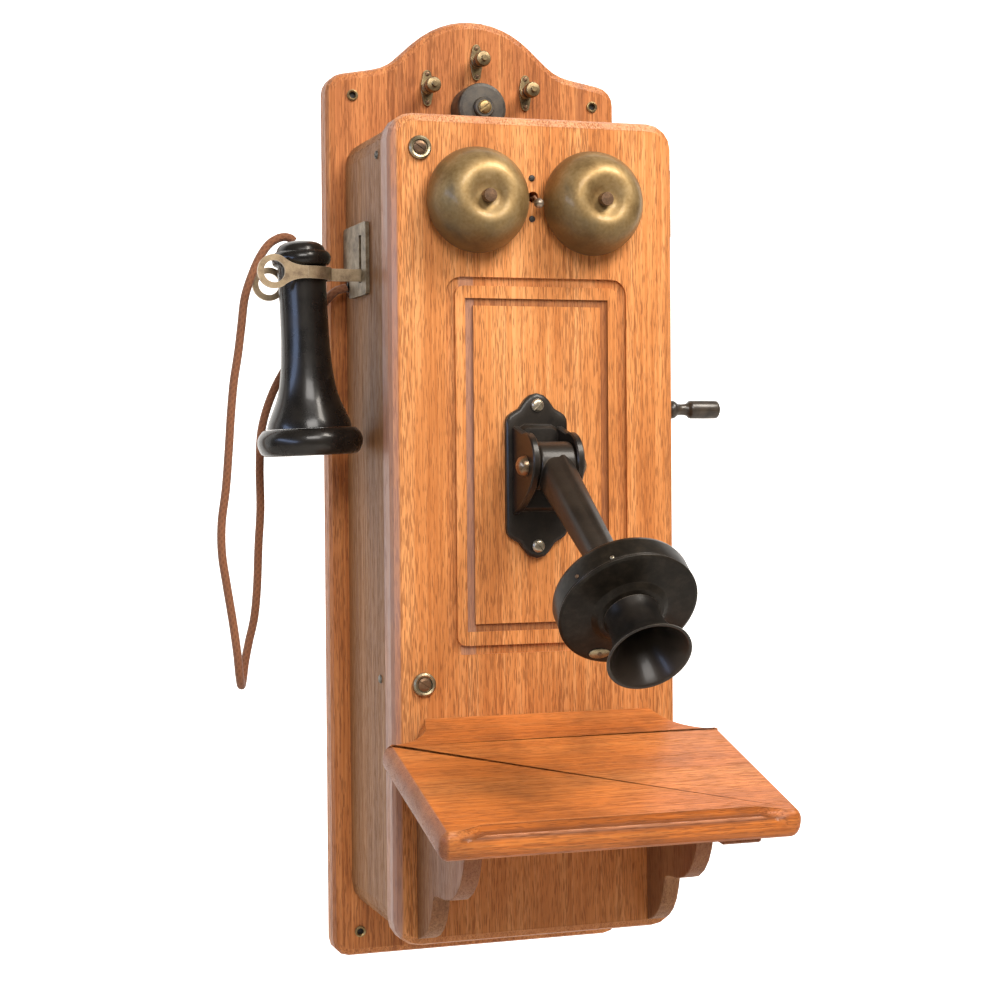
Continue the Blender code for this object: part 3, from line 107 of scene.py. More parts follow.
class Finish:
    """The node material of one of the telephone's finishes."""

    def __init__(self, name):
        self.material = bpy.data.materials.new(name)
        self.material.use_nodes = True
        self.tree = self.material.node_tree
        self.shader = self.tree.nodes["Principled BSDF"]
        self.where = self.node("ShaderNodeTexCoord", out="Object")

    def node(self, kind, settings=None, sockets=None, out=0):
        """A new node with its settings, then its sockets' values or links."""
        made = self.tree.nodes.new(kind)
        for key, value in (settings or {}).items():
            if key == "stops":
                for place, colour in value[2:]:
                    made.color_ramp.elements.new(place)
                for element, (place, colour) in zip(made.color_ramp.elements, value):
                    element.position, element.color = place, (*colour, 1.0)
            else:
                setattr(made, key, value)
        for key, value in (sockets or {}).items():
            self.feed(made.inputs[key], value)
        return Value(self, made.outputs[out])

    def feed(self, socket, value):
        if isinstance(value, Value):
            self.tree.links.new(value.socket, socket)
        elif socket.type == "RGBA":
            socket.default_value = (*value, 1.0)
        else:
            socket.default_value = value

    def noise(self, scale, stretch=(1, 1, 1), detail=2, seed=0.0, rough=0.5):
        """Noise in metres, squeezed where the stretch is under 1."""
        moved = self.node("ShaderNodeVectorMath", {"operation": "MULTIPLY_ADD"},
                          {0: self.where, 1: stretch, 2: (seed, seed * 0.7, seed * 1.3)})
        return self.node("ShaderNodeTexNoise", {}, {"Vector": moved, "Scale": scale, "Detail": detail,
                                                    "Roughness": rough})

    def axis(self, index):
        return self.node("ShaderNodeSeparateXYZ", {}, {0: self.where}, index)

    def mix(self, factor, a, b, blend="MIX"):
        return self.node("ShaderNodeMix", {"data_type": "RGBA", "blend_type": blend},
                         {0: factor, 6: a, 7: b}, 2)

    def ramp(self, value, *stops):
        return self.node("ShaderNodeValToRGB", {"stops": stops}, {0: value})

    def worn(self, radius, gain=3.0):
        """How sharp an edge is near a point, from 0 on the flat to 1 on an arris."""
        rounded = self.node("ShaderNodeBevel", {"samples": 4}, {"Radius": radius})
        plain = self.node("ShaderNodeNewGeometry", out="Normal")
        facing = self.node("ShaderNodeVectorMath", {"operation": "DOT_PRODUCT"}, {0: rounded, 1: plain}, 1)
        return ((1 - facing) * gain).held()

    def bump(self, height, distance, strength=1.0):
        return self.node("ShaderNodeBump", {}, {"Strength": strength, "Distance": distance, "Height": height})

    def shade(self, colour, rough, metal=0.0, normal=None, coat=0.0, coat_rough=0.1):
        wanted = {"Base Color": colour, "Roughness": rough, "Metallic": metal, "Coat Weight": coat,
                  "Coat Roughness": coat_rough}
        if normal:
            wanted["Normal"] = normal
        for key, value in wanted.items():
            self.feed(self.shader.inputs[key], value)
        return self


def piece(name, bm, finish, body, stands_for=(), sharp=38, rounding=0.0):
    """Make one object of a finished mesh, and hang it on its body if it has one of its own."""
    bmesh.ops.recalc_face_normals(bm, faces=bm.faces)
    mesh = bpy.data.meshes.new(name)
    bm.to_mesh(mesh)
    bm.free()
    obj = bpy.data.objects.new(name, mesh)
    bpy.context.scene.collection.objects.link(obj)
    mesh.materials.append(finish.material)
    mesh.shade_smooth()
    if rounding:
        bevel = obj.modifiers.new("rounding", "BEVEL")
        bevel.width, bevel.segments, bevel.limit_method = rounding, 3, "ANGLE"
        bevel.angle_limit = math.radians(sharp)
        bevel.harden_normals = True
    else:
        mesh.set_sharp_from_angle(angle=math.radians(sharp))
    if body:
        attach(obj, body)
    if stands_for:
        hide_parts(*stands_for)
    return obj


def dense(points, spacing):
    """Points on a smooth curve through a route, about one spacing apart."""
    rail = [Vector(p) for p in points]
    rail = [2 * rail[0] - rail[1]] + rail + [2 * rail[-1] - rail[-2]]
    smooth = []
    for a, b, c, d in zip(rail, rail[1:], rail[2:], rail[3:]):
        steps = max(2, round((c - b).length / spacing))
        for i in range(steps):
            t = i / steps
            smooth.append(0.5 * (2 * b + (c - a) * t + (2 * a - 5 * b + 4 * c - d) * t * t
                                 + (3 * b - a - 3 * c + d) * t ** 3))
    return smooth + [rail[-2]]


def joined(bm, rings, closed=False):
    """Skin between neighbouring loops of points; a loop of one point is a pole."""
    made = [[bm.verts.new(p) for p in ring] for ring in rings]
    pairs = list(zip(made, made[1:]))
    if closed:
        pairs.append((made[-1], made[0]))
    for a, b in pairs:
        for k in range(max(len(a), len(b))):
            corners = [a[k % len(a)], a[(k + 1) % len(a)], b[(k + 1) % len(b)], b[k % len(b)]]
            corners = list(dict.fromkeys(corners))
            if len(corners) > 2:
                bm.faces.new(corners)
    return made


CORD_ROUTE = [
    (-0.1494, -0.0588, 0.1690), (-0.1530, -0.0580, 0.1717), (-0.1592, -0.0575, 0.1716),
    (-0.1672, -0.0578, 0.1670), (-0.1740, -0.0585, 0.1580), (-0.1802, -0.0590, 0.1450),
    (-0.1858, -0.0592, 0.1280), (-0.1885, -0.0595, 0.1080), (-0.1912, -0.0598, 0.0880),
    (-0.1945, -0.0600, 0.0680), (-0.1968, -0.0600, 0.0450), (-0.1986, -0.0600, 0.0200),
    (-0.2010, -0.0600, -0.0080), (-0.2042, -0.0600, -0.0320), (-0.2043, -0.0603, -0.0540),
    (-0.2010, -0.0608, -0.0780), (-0.1973, -0.0612, -0.1020), (-0.1942, -0.0608, -0.1250),
    (-0.1922, -0.0580, -0.1410), (-0.1893, -0.0500, -0.1495), (-0.1862, -0.0405, -0.1460),
    (-0.1832, -0.0345, -0.1340), (-0.1800, -0.0330, -0.1200), (-0.1757, -0.0325, -0.1020),
    (-0.1732, -0.0315, -0.0800), (-0.1716, -0.0305, -0.0500), (-0.1698, -0.0300, -0.0230),
    (-0.1700, -0.0300, 0.0080), (-0.1680, -0.0300, 0.0360), (-0.1585, -0.0295, 0.0640),
    (-0.1420, -0.0290, 0.0920), (-0.1245, -0.0300, 0.1215), (-0.1138, -0.0315, 0.1350),
    (-0.1040, -0.0320, 0.1390),
]
CORD_RADIUS, BRAID_STRANDS, BRAID_STEEPNESS = 0.0031, 5, 0.8
braid = Finish("cord_braid")
weave = braid.node("ShaderNodeAttribute", {"attribute_name": "weave"}, out="Fac")
fluff = braid.noise(1400, detail=3)
stain = braid.noise(22, detail=2, seed=4.0)
# The thread colour runs darker down into the grooves between the strands, by the weave height: painted shade.
thread_and_groove_shade = braid.ramp((weave * 0.75 + fluff * 0.4).held(), (0.10, (0.165, 0.055, 0.021)),
                    (0.55, (0.235, 0.085, 0.033)), (0.95, (0.320, 0.128, 0.054)))
braid.shade(braid.mix((stain * 1.6 - 0.5).held() * 0.5, thread_and_groove_shade, (0.110, 0.033, 0.013)), 0.80,
            normal=braid.bump(fluff, 0.0004, 0.8))
braid.shader.inputs["Sheen Weight"].default_value = 0.25

cord_line = dense(CORD_ROUTE, 0.0008)
lowest = min(range(len(cord_line)), key=lambda k: cord_line[k].z)
rings, heights = [], []
side, walked, around = Vector((0.0, 1.0, 0.0)), 0.0, 20
for index, point in enumerate(cord_line):
    heading = cord_line[min(index + 1, len(cord_line) - 1)] - cord_line[max(index - 1, 0)]
    heading.normalize()
    side = (side - heading * side.dot(heading)).normalized()
    other = heading.cross(side)
    walked += (point - cord_line[index - 1]).length if index else 0.0
    slope = walked * BRAID_STRANDS * BRAID_STEEPNESS / CORD_RADIUS
    ring = []
    for k in range(around):
        angle = math.tau * k / around
        height = max(math.cos(BRAID_STRANDS * angle + slope), math.cos(BRAID_STRANDS * angle - slope))
        radius = CORD_RADIUS * (0.965 + 0.035 * height)
        ring.append(point + (side * math.cos(angle) + other * math.sin(angle)) * radius)
        heights.append(0.5 + 0.5 * height)
    rings.append(ring)
strands = {}
for name, first, last in (("cord_hanging", 0, lowest), ("cord_rising", lowest, len(cord_line) - 1)):
    bm = bmesh.new()
    made = joined(bm, rings[first:last + 1])
    bm.faces.new(made[0])
    bm.faces.new(made[-1])
    strand = piece(name, bm, braid, None if first == 0 else "case", ["receiver_cord"])
    strand.data.attributes.new("weave", "FLOAT", "POINT").data.foreach_set(
        "value", heights[first * around:(last + 1) * around])
    line = cord_line[first:last + 1]
    length = sum((q - p).length for p, q in zip(line, line[1:]))
    [tuple(p) for p in line[::6]] + [tuple(line[-1])]
    strands[name] = strand
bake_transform(strands["cord_hanging"])

# ---- floor and light ----------------------------------------------------------------------
# A plain pale floor well under the telephone and a bright white screen behind it, lit by soft
# panels: a warm one high on the right, a plain one in front and a narrow cool one on the left.
pale = Finish("pale_floor")
pale.shade((0.72, 0.70, 0.67), 0.9)
screen_white = Finish("white_screen")
screen_white.shade((0.9, 0.9, 0.9), 0.9)
screen_white.shader.inputs["Emission Color"].default_value = (1.0, 1.0, 1.0, 1.0)
screen_white.shader.inputs["Emission Strength"].default_value = 0.85
FLOOR_LEVEL, SCREEN_Y = -0.95, 1.3
for name, finish, corners in (
        ("floor", pale, ((-4, -3.0, FLOOR_LEVEL), (4, -3.0, FLOOR_LEVEL), (4, 1.4, FLOOR_LEVEL),
                         (-4, 1.4, FLOOR_LEVEL))),
        ("screen", screen_white, ((-4, SCREEN_Y, FLOOR_LEVEL), (4, SCREEN_Y, FLOOR_LEVEL), (4, SCREEN_Y, 2.6),
                                  (-4, SCREEN_Y, 2.6)))):
    mesh = bpy.data.meshes.new(name)
    mesh.from_pydata(corners, [], [(0, 1, 2, 3)])
    mesh.materials.append(finish.material)
    sheet = bpy.data.objects.new(name, mesh)
    bpy.context.scene.collection.objects.link(sheet)

world = bpy.data.worlds.new("room")
bpy.context.scene.world = world
world.use_nodes = True
world.node_tree.nodes["Background"].inputs["Color"].default_value = (0.80, 0.72, 0.62, 1.0)
world.node_tree.nodes["Background"].inputs["Strength"].default_value = 0.26
for name, place, width, height, power, colour in (
        ("right_panel", (0.95, -1.45, 1.75), 1.0, 1.0, 62.0, (1.0, 0.93, 0.84)),
        ("front_panel", (-0.40, -2.60, 1.50), 1.4, 1.0, 50.0, (1.0, 0.96, 0.92)),
        ("left_panel", (-1.60, -0.75, 0.30), 0.30, 1.6, 10.0, (0.46, 0.62, 1.0))):
    light = bpy.data.lights.new(name, "AREA")
    light.shape, light.size, light.size_y = "RECTANGLE", width, height
    light.energy, light.color = power, colour
    lamp = bpy.data.objects.new(name, light)
    lamp.location = place
    lamp.visible_diffuse = name != "left_panel"
    lamp.rotation_euler = (Vector((0.0, -0.1, 0.0)) - Vector(place)).to_track_quat("-Z", "Z").to_euler()
    bpy.context.scene.collection.objects.link(lamp)


# ---- backboard ----------------------------------------------------------------------------
# One wide oak board, planed, with a shaped crest, a rounded front edge and a dark open grain
# that runs up it. Its varnish has reddened.
def oak(name, run, tones, seed, pore=0.6, gloss=0.40, width=30):
    """Varnished open-grained oak. The tones go from dark to light, and the last is its pores."""
    wood = Finish(name)
    long = tuple(1.0 if value == 1 else 0.045 for value in run)
    longer = tuple(1.0 if value == 1 else 0.020 for value in run)
    short = tuple(1.0 if value == 1 else 0.060 for value in run)
    figure = wood.noise(width, long, 3, seed, 0.55)
    line = wood.noise(600, longer, 3, seed + 3.1, 0.6)
    rows = wood.noise(120, longer, 2, seed + 5.3)
    pores = wood.noise(1550, short, 1, seed + 8.7)
    tone = (figure * 0.48 + line * 0.52).held()
    colour = wood.ramp(tone, (0.37, tones[0]), (0.50, tones[1]), (0.61, tones[2]))
    dash = ((pores - 0.54) * 12 + (rows - 0.50) * 4).held()
    wood.dash = dash
    wood.colour = wood.mix(dash * pore, colour, tones[3])
    wood.gloss = gloss + dash * 0.25 + figure * 0.1
    wood.relief = wood.bump(line * 0.25 - dash, 0.00022, 0.7)
    wood.shader.inputs["Specular IOR Level"].default_value = 0.25
    return wood


UP, ALONG = (1, 1, 0), (0, 1, 1)
board_oak = oak("oak_backboard", UP, ((0.320, 0.100, 0.028), (0.510, 0.178, 0.053), (0.650, 0.262, 0.088),
                                      (0.130, 0.042, 0.016)), 2.0, 0.45, 0.42, 42)
streak = (board_oak.noise(75, (1, 1, 0.03), 3, 31.0, 0.65) * 6 - 3.35).held()
colour = board_oak.mix(streak * 0.45, board_oak.colour, (0.135, 0.048, 0.020))
edge = board_oak.worn(0.0016, 2.0)
board_oak.shade(board_oak.mix(edge * 0.25, colour, (0.62, 0.27, 0.10)), board_oak.gloss,
                normal=board_oak.relief, coat=0.06)


def refinish(finish, *names):
    """Give a finish to pieces of the frame."""
    for name in names:
        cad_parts[name].data.materials[0] = finish.material


refinish(board_oak, "backboard")

# ---- case ---------------------------------------------------------------------------------
# Four oak boards joined by combs at the rounded corners. The case boards are given duller,
# browner tones than the door.
case_oak = oak("oak_case", UP, ((0.250, 0.106, 0.038), (0.365, 0.165, 0.060), (0.470, 0.230, 0.094),
                                (0.110, 0.046, 0.018)), 11.0, 0.40, 0.50, 34)
grime = (case_oak.noise(9, detail=3, seed=2.0) * 2.2 - 0.75).held()
case_oak.shade(case_oak.mix(grime * 0.35, case_oak.colour, (0.170, 0.075, 0.032)), case_oak.gloss,
               normal=case_oak.relief, coat=0.03)
refinish(case_oak, "case_left", "case_right", "case_top", "case_bottom")

# ---- door ---------------------------------------------------------------------------------
# A single oak board with a rounded edge and two routed channels that frame the transmitter.
# The channels hold dark wax, and the left edge is tinted grey-lavender as a painted cool reflection.
DOOR_FACE, DOOR_EDGE_X, DOOR_TOP, DOOR_FOOT = -0.1540, 0.0990, 0.2435, -0.3178
door_oak = oak("oak_door", UP, ((0.540, 0.185, 0.050), (0.720, 0.285, 0.090), (0.860, 0.395, 0.150),
                                (0.215, 0.066, 0.018)), 23.0, 0.62, 0.36, 36)
x, y, z = (door_oak.axis(k) for k in range(3))
inside = (((DOOR_EDGE_X - abs(x)) * 900).held() * ((DOOR_TOP - z) * 900).held()
          * ((z - DOOR_FOOT) * 900).held())
sunk = ((y - DOOR_FACE - 0.0002) * 900).held() * ((DOOR_FACE + 0.0060 - y) * 900).held()
panel = ((0.0560 - abs(x - 0.0015)) * 900).held() * ((0.1262 - z) * 900).held() * ((z + 0.1108) * 900).held()
wax = inside * sunk * (panel * 0.34 + 0.14)
patch = (door_oak.noise(14, (1, 1, 0.6), 3, 6.0) * 2.4 - 0.9).held()
shadowed = ((-0.1500 - z) * 14).held()
colour = door_oak.mix(patch * 0.30, door_oak.colour, (0.430, 0.142, 0.038))
colour = door_oak.mix(shadowed * 0.25, colour, (0.330, 0.115, 0.032))
colour = door_oak.mix(wax * (0.5 + door_oak.noise(150, (1, 1, 0.2), 2, 9.0)), colour, (0.150, 0.058, 0.034))
# Painted reflection: a lavender tint down the left side of the inner channel, standing in for cool light from the
# left.
left_channel_painted_reflection = inside * sunk * ((-0.0440 - x) * 900).held() * ((0.0560 + x) * 900).held()
colour = door_oak.mix(left_channel_painted_reflection * 0.45, colour, (0.400, 0.260, 0.230))
# Painted shade: the rounded edge outside the face is darkened.
colour = door_oak.mix((1 - inside) * 0.30, colour, (0.330, 0.110, 0.036))
# Painted reflection: the left edge takes a patchy grey-lavender tint standing in for cool light from the left.
left_edge = ((0 - x - DOOR_EDGE_X) * 700).held()
left_edge_painted_reflection = left_edge * (door_oak.noise(60, (1, 1, 0.15), 3, 12.0) * 1.9 - 0.25).held()
colour = door_oak.mix(left_edge_painted_reflection * 0.80, colour, (0.350, 0.245, 0.250))
door_oak.shade(colour, door_oak.gloss, normal=door_oak.relief, coat=0.06)
refinish(door_oak, "door")

# ---- hinges and inside fittings -----------------------------------------------------------
# Two butt hinges and, in the case, the magneto, the induction coil, the cells, the ringer and
# the switch: plain steel, blackened iron, cotton-covered wire and printed card.
def metal(name, colour, dull, dark, rough, shine, seed, edge_colour=None, edge_radius=0.0006):
    """A worn metal: cloudy tarnish, fine scratches and brighter edges."""
    made = Finish(name)
    cloud = made.noise(130, detail=4, seed=seed, rough=0.6)
    speck = made.noise(1500, detail=2, seed=seed + 3.0)
    tone = made.ramp((cloud * 0.8 + speck * 0.2).held(), (0.36, dark), (0.50, dull), (0.64, colour))
    if edge_colour:
        tone = made.mix((made.worn(edge_radius) * (cloud * 2.4 - 0.4).held()).held() * 0.9, tone, edge_colour)
    made.cloud, made.tone = cloud, tone
    made.shade(tone, rough + 0.22 * (0.6 - cloud), shine, made.bump(speck * 0.4 + cloud, 0.00008, 0.5))
    return made


hinge_brass = metal("aged_brass", (0.40, 0.28, 0.12), (0.24, 0.165, 0.075), (0.10, 0.068, 0.034), 0.42, 0.85, 1.0,
                    (0.62, 0.47, 0.24))
dull_steel = metal("dull_steel", (0.30, 0.28, 0.24), (0.19, 0.175, 0.145), (0.09, 0.080, 0.066), 0.46, 0.80, 5.0,
                   (0.52, 0.50, 0.45))
black_iron = metal("black_iron", (0.055, 0.050, 0.045), (0.034, 0.030, 0.027), (0.016, 0.014, 0.012), 0.5, 0.3,
                   9.0, (0.15, 0.14, 0.125))
refinish(hinge_brass, "hinge_case_leaf_upper", "hinge_case_leaf_lower", "hinge_door_leaf_upper",
         "hinge_door_leaf_lower", "hinge_pin_upper", "hinge_pin_lower", "crank_bushing", "drive_gear")
refinish(dull_steel, "hook_switch", "ringer_frame", "door_screw_lug_upper", "door_screw_lug_lower",
         "magneto_armature", "crank_shaft", "crank_arm")
refinish(black_iron, "magneto_frame", "magneto_magnet_left", "magneto_magnet_right")
winding = Finish("green_winding")
turns = winding.node("ShaderNodeTexWave", {"wave_type": "BANDS", "bands_direction": "DIAGONAL"},
                     {"Vector": winding.where, "Scale": 260.0, "Distortion": 0.6})
winding.shade(winding.ramp(turns, (0.1, (0.020, 0.060, 0.028)), (0.9, (0.075, 0.190, 0.090))), 0.7,
              normal=winding.bump(turns, 0.0003))
refinish(winding, "induction_coil", "ringer_coil_left", "ringer_coil_right")
card = Finish("cell_card")
scuff = card.noise(60, detail=4, seed=3.0)
band = ((card.axis(2) + 0.235) * 400).held() * ((-0.200 - card.axis(2)) * 400).held()
card.shade(card.mix(band * 0.8, card.ramp(scuff, (0.35, (0.25, 0.050, 0.028)), (0.65, (0.46, 0.105, 0.055))),
                    (0.55, 0.45, 0.26)), 0.62, normal=card.bump(scuff, 0.0002))
refinish(card, "dry_cell_left", "dry_cell_right")

# ---- board fittings -----------------------------------------------------------------------
# Three line posts, the lightning arrester with a brass screw through its black cap, and the
# bushes that line the backboard's four screw holes.
FRONT, RIGHTWARD, LEFTWARD = (math.pi / 2, 0, 0), (0, math.pi / 2, 0), (0, -math.pi / 2, 0)


def stand(place, turn):
    """The frame of a turned piece: its own Z runs the way that the turn sends it."""
    return Matrix.Translation(place) @ Euler(turn).to_matrix().to_4x4()


def softened(points, reach, closed=False):
    """The same profile with each corner drawn round over a short reach."""
    points = [Vector((*p, 0)) for p in points]
    out = []
    for i, p in enumerate(points):
        if not closed and i in (0, len(points) - 1):
            out.append((p.x, p.y))
            continue
        a, b = points[i - 1], points[(i + 1) % len(points)]
        to_a, to_b = a - p, b - p
        if to_a.length < 1e-7 or to_b.length < 1e-7 or abs(to_a.angle(to_b) - math.pi) < 0.12:
            out.append((p.x, p.y))
            continue
        start = p + to_a.normalized() * min(reach, to_a.length * 0.42)
        end = p + to_b.normalized() * min(reach, to_b.length * 0.42)
        for t in (0.0, 0.33, 0.67, 1.0):
            q = start * (1 - t) ** 2 + p * 2 * t * (1 - t) + end * t * t
            out.append((q.x, q.y))
    return out


def turned(bm, profile, frame_matrix, steps=48, closed=False, soft=0.0):
    """Add a turned shape: the profile's (radius, height) points spun about its frame's Z."""
    if soft:
        profile = softened(profile, soft, closed)
    rings = []
    for radius, height in profile:
        if radius < 1e-6:
            rings.append([frame_matrix @ Vector((0, 0, height))])
        else:
            rings.append([frame_matrix @ Vector((radius * math.cos(math.tau * k / steps),
                                                 radius * math.sin(math.tau * k / steps), height))
                          for k in range(steps)])
    joined(bm, rings, closed)


ebonite = Finish("ebonite")
haze = ebonite.noise(70, detail=3, seed=2.0)
scratch = ebonite.noise(900, (1, 1, 0.2), 2, 5.0)
rubbed = ebonite.worn(0.0012, 2.0)
ebonite.shade(ebonite.mix(rubbed * (haze * 1.8 - 0.3).held() * 0.6,
                          ebonite.ramp(haze, (0.35, (0.0070, 0.0062, 0.0058)), (0.65, (0.0165, 0.0140, 0.0120))),
                          (0.075, 0.062, 0.050)), 0.20 + 0.16 * haze, normal=ebonite.bump(scratch, 0.00005, 0.5),
              coat=0.22, coat_rough=0.10)
ebonite.shader.inputs["Specular IOR Level"].default_value = 0.35
refinish(ebonite, "cord_bushing")
refinish(metal("arrester_rubber", (0.085, 0.070, 0.052), (0.055, 0.046, 0.036), (0.028, 0.023, 0.019), 0.44, 0.0, 47.0,
               (0.16, 0.13, 0.10), 0.0010), "arrester_cap")


def slotted_head(bm, place, turn, radius, height, slot_angle, slot=0.14):
    """A domed screw head cut across by a slot, as two half domes on a thin disc."""
    base = stand(place, turn)
    turned(bm, [(0, height * 0.45), (radius * 0.97, height * 0.40), (radius, 0.0), (0, 0.0)], base, 28)
    spin = Matrix.Rotation(slot_angle, 4, "Z")
    for sign in (-1, 1):
        rings = []
        for level_share, reach in ((0.36, 0.96), (0.62, 0.90), (0.82, 0.74), (0.96, 0.45), (1.0, 0.16)):
            low = math.asin(min(1.0, slot / reach))
            angles = [low + (math.pi - 2 * low) * k / 14 for k in range(15)]
            rings.append([base @ spin @ Vector((radius * reach * math.cos(a), sign * radius * reach * math.sin(a),
                                                height * level_share)) for a in angles])
        made = joined(bm, rings)
        bm.faces.new(made[0])
        bm.faces.new(made[-1])


nickel = metal("worn_nickel", (0.56, 0.50, 0.40), (0.40, 0.345, 0.26), (0.20, 0.165, 0.115), 0.32, 0.90, 14.0,
               (0.80, 0.76, 0.68))
cup_metal = metal("washer_brass", (0.50, 0.42, 0.27), (0.30, 0.245, 0.15), (0.12, 0.095, 0.06), 0.34, 0.88, 17.0,
                  (0.72, 0.66, 0.52))
screw_brown = metal("brown_screw", (0.27, 0.155, 0.085), (0.155, 0.090, 0.052), (0.065, 0.040, 0.026), 0.42, 0.7,
                    19.0, (0.42, 0.28, 0.17))


def prism(bm, outline, low, high, place):
    """A flat outline carried from one level to another; place turns (u, v, level) into a point."""
    loops = [[place(u, v, level_now) for u, v in outline] for level_now in (low, high)]
    made = joined(bm, loops)
    bm.faces.new(made[0])
    bm.faces.new(made[1])


def arc(centre, radius, start, end, steps):
    """Points on an arc in degrees, both ends included."""
    angles = [math.radians(start + (end - start) * i / steps) for i in range(steps + 1)]
    return [(centre[0] + radius * math.cos(a), centre[1] + radius * math.sin(a)) for a in angles]


BOARD_FACE = -0.0203
post_brass = metal("post_brass", (0.36, 0.27, 0.14), (0.22, 0.16, 0.085), (0.085, 0.062, 0.036), 0.36, 0.85, 51.0,
                   (0.66, 0.55, 0.36), 0.0005)
foot = arc((0.0, 0.0104), 0.0031, 20, 160, 8) + [(-0.0046, 0.0035), (-0.0049, 0.0), (-0.0046, -0.0035)]
foot += arc((0.0, -0.0104), 0.0031, 200, 340, 8) + [(0.0046, -0.0035), (0.0049, 0.0), (0.0046, 0.0035)]
for name, post_x, post_z in (("left", -0.0375, 0.2906), ("centre", 0.0015, 0.3118), ("right", 0.0405, 0.2905)):
    bm = bmesh.new()
    prism(bm, foot, BOARD_FACE - 0.0016, BOARD_FACE,
          lambda u, v, level_now: Vector((post_x + u, level_now, post_z + v)))
    turned(bm, [(0, 0.0225), (0.0020, 0.0225), (0.0022, 0.0222), (0.0022, 0.0200), (0.0040, 0.0198),
                (0.0052, 0.0195), (0.0058, 0.0182), (0.0058, 0.0168), (0.0055, 0.0165), (0.0058, 0.0161),
                (0.0058, 0.0142), (0.0050, 0.0127), (0.0033, 0.0121), (0.0032, 0.0090), (0.0046, 0.0086),
                (0.0046, 0.0066), (0.0038, 0.0062), (0.0038, 0.0044), (0.0050, 0.0038), (0.0050, 0.0014),
                (0, 0.0014)], stand((post_x, BOARD_FACE, post_z), FRONT), 40)
    piece("line_post_" + name, bm, post_brass, "case", ["binding_post_" + name], 32, 0.0003)
    bm = bmesh.new()
    for end_z in (-0.0106, 0.0106):
        slotted_head(bm, (post_x, BOARD_FACE - 0.0017, post_z + end_z), FRONT, 0.0017, 0.0010, 0.6)
    piece("line_post_screws_" + name, bm, screw_brown, "case")
bm = bmesh.new()
slotted_head(bm, (0.0, BOARD_FACE - 0.0251, 0.2745), FRONT, 0.0052, 0.0022, 0.7)
piece("arrester_screw", bm, hinge_brass, "case")
WALL_HOLES = ((-0.0952, 0.2827), (0.0952, 0.2827), (-0.0950, -0.3412), (0.0950, -0.3412))
bm = bmesh.new()
for hole_x, hole_z in WALL_HOLES:
    turned(bm, [(0.0042, 0.0002), (0.0041, 0.0012), (0.0034, 0.0015), (0.0025, 0.0010), (0.0024, -0.0180),
                (0.00255, -0.0180), (0.00255, 0.0)], stand((hole_x, -0.0201, hole_z), FRONT), 28, True)
piece("wall_hole_bushes", bm, hinge_brass, "case")
bm = bmesh.new()
for hole_x, hole_z in WALL_HOLES:
    turned(bm, [(0, -0.0020), (0.00235, -0.0020), (0.00235, -0.0060), (0, -0.0060)],
           stand((hole_x, -0.0201, hole_z), FRONT), 20)
piece("wall_hole_shadows", bm, black_iron, "case")
bm = bmesh.new()
for post_x, post_z, lean in ((-0.0375, 0.2906, 1.0), (0.0015, 0.3118, -0.5), (0.0405, 0.2905, 0.8)):
    top = Vector((post_x, BOARD_FACE - 0.0100, post_z))
    loop = [top + Vector((0.0046 * math.cos(a), -0.0007 * i / 6, 0.0046 * math.sin(a)))
            for i, a in enumerate(math.radians(20 + 40 * k) for k in range(8))]
    tail = [loop[-1] + Vector((0.0012 * lean, 0.0010, 0.0042)), loop[-1] + Vector((0.0022 * lean, 0.0030, 0.0100))]
    line = dense(loop + tail, 0.0008)
    rings = []
    for index, point in enumerate(line):
        heading = (line[min(index + 1, len(line) - 1)] - line[max(index - 1, 0)]).normalized()
        side = heading.orthogonal().normalized() if index == 0 else (side - heading * side.dot(heading)).normalized()
        other = heading.cross(side)
        rings.append([point + (side * math.cos(a) + other * math.sin(a)) * 0.00055
                      for a in (math.tau * k / 8 for k in range(8))])
    made = joined(bm, rings)
    bm.faces.new(made[0])
    bm.faces.new(made[-1])
piece("post_wires", bm, black_iron, "case")

# ---- door screws --------------------------------------------------------------------------
# Slotted screws in dished washers hold the door shut, and two small dark screws hold the
# ringer behind it. Smaller ones hold the lugs through the case side.
refinish(cup_metal, "door_screw_cup_upper", "door_screw_cup_lower")
refinish(screw_brown, "door_screw_upper", "door_screw_lower")
bm = bmesh.new()
for screw_z in (0.2071, 0.1788):
    slotted_head(bm, (-0.0020, DOOR_FACE - 0.0001, screw_z), FRONT, 0.0023, 0.0013, 0.4)
piece("ringer_screws", bm, black_iron, "door")
bm = bmesh.new()
for screw_y, screw_z in ((-0.1090, 0.2257), (-0.1072, -0.1429)):
    slotted_head(bm, (-0.1011, screw_y, screw_z), LEFTWARD, 0.0030, 0.0016, 0.9)
piece("lug_screws", bm, dull_steel, "case")

# ---- gongs --------------------------------------------------------------------------------
# Two spun brass gongs, dished in the middle and rolled at the rim, lacquered long ago and
# darkened towards the left and the bottom, partly olive and brown tarnish and partly painted shade. A brown-headed
# post clamps each.
GONG_FACE, GONG_Z = -0.1543, 0.1900
GONG_PROFILE = [(0.0028, 0.0296), (0.0070, 0.0298), (0.0095, 0.0310), (0.0120, 0.0327), (0.0142, 0.0338),
                (0.0165, 0.0342), (0.0190, 0.0341), (0.0215, 0.0333), (0.0246, 0.0313), (0.0275, 0.0285),
                (0.0302, 0.0248), (0.0325, 0.0207), (0.0342, 0.0167), (0.0354, 0.0127), (0.0361, 0.0094),
                (0.0365, 0.0066), (0.0363, 0.0062), (0.0349, 0.0062)]
GONG_INSIDE = [(0.0346, 0.0085), (0.0338, 0.0122), (0.0310, 0.0196), (0.0263, 0.0269), (0.0208, 0.0316),
               (0.0165, 0.0325), (0.0124, 0.0309), (0.0074, 0.0282), (0.0028, 0.0280)]
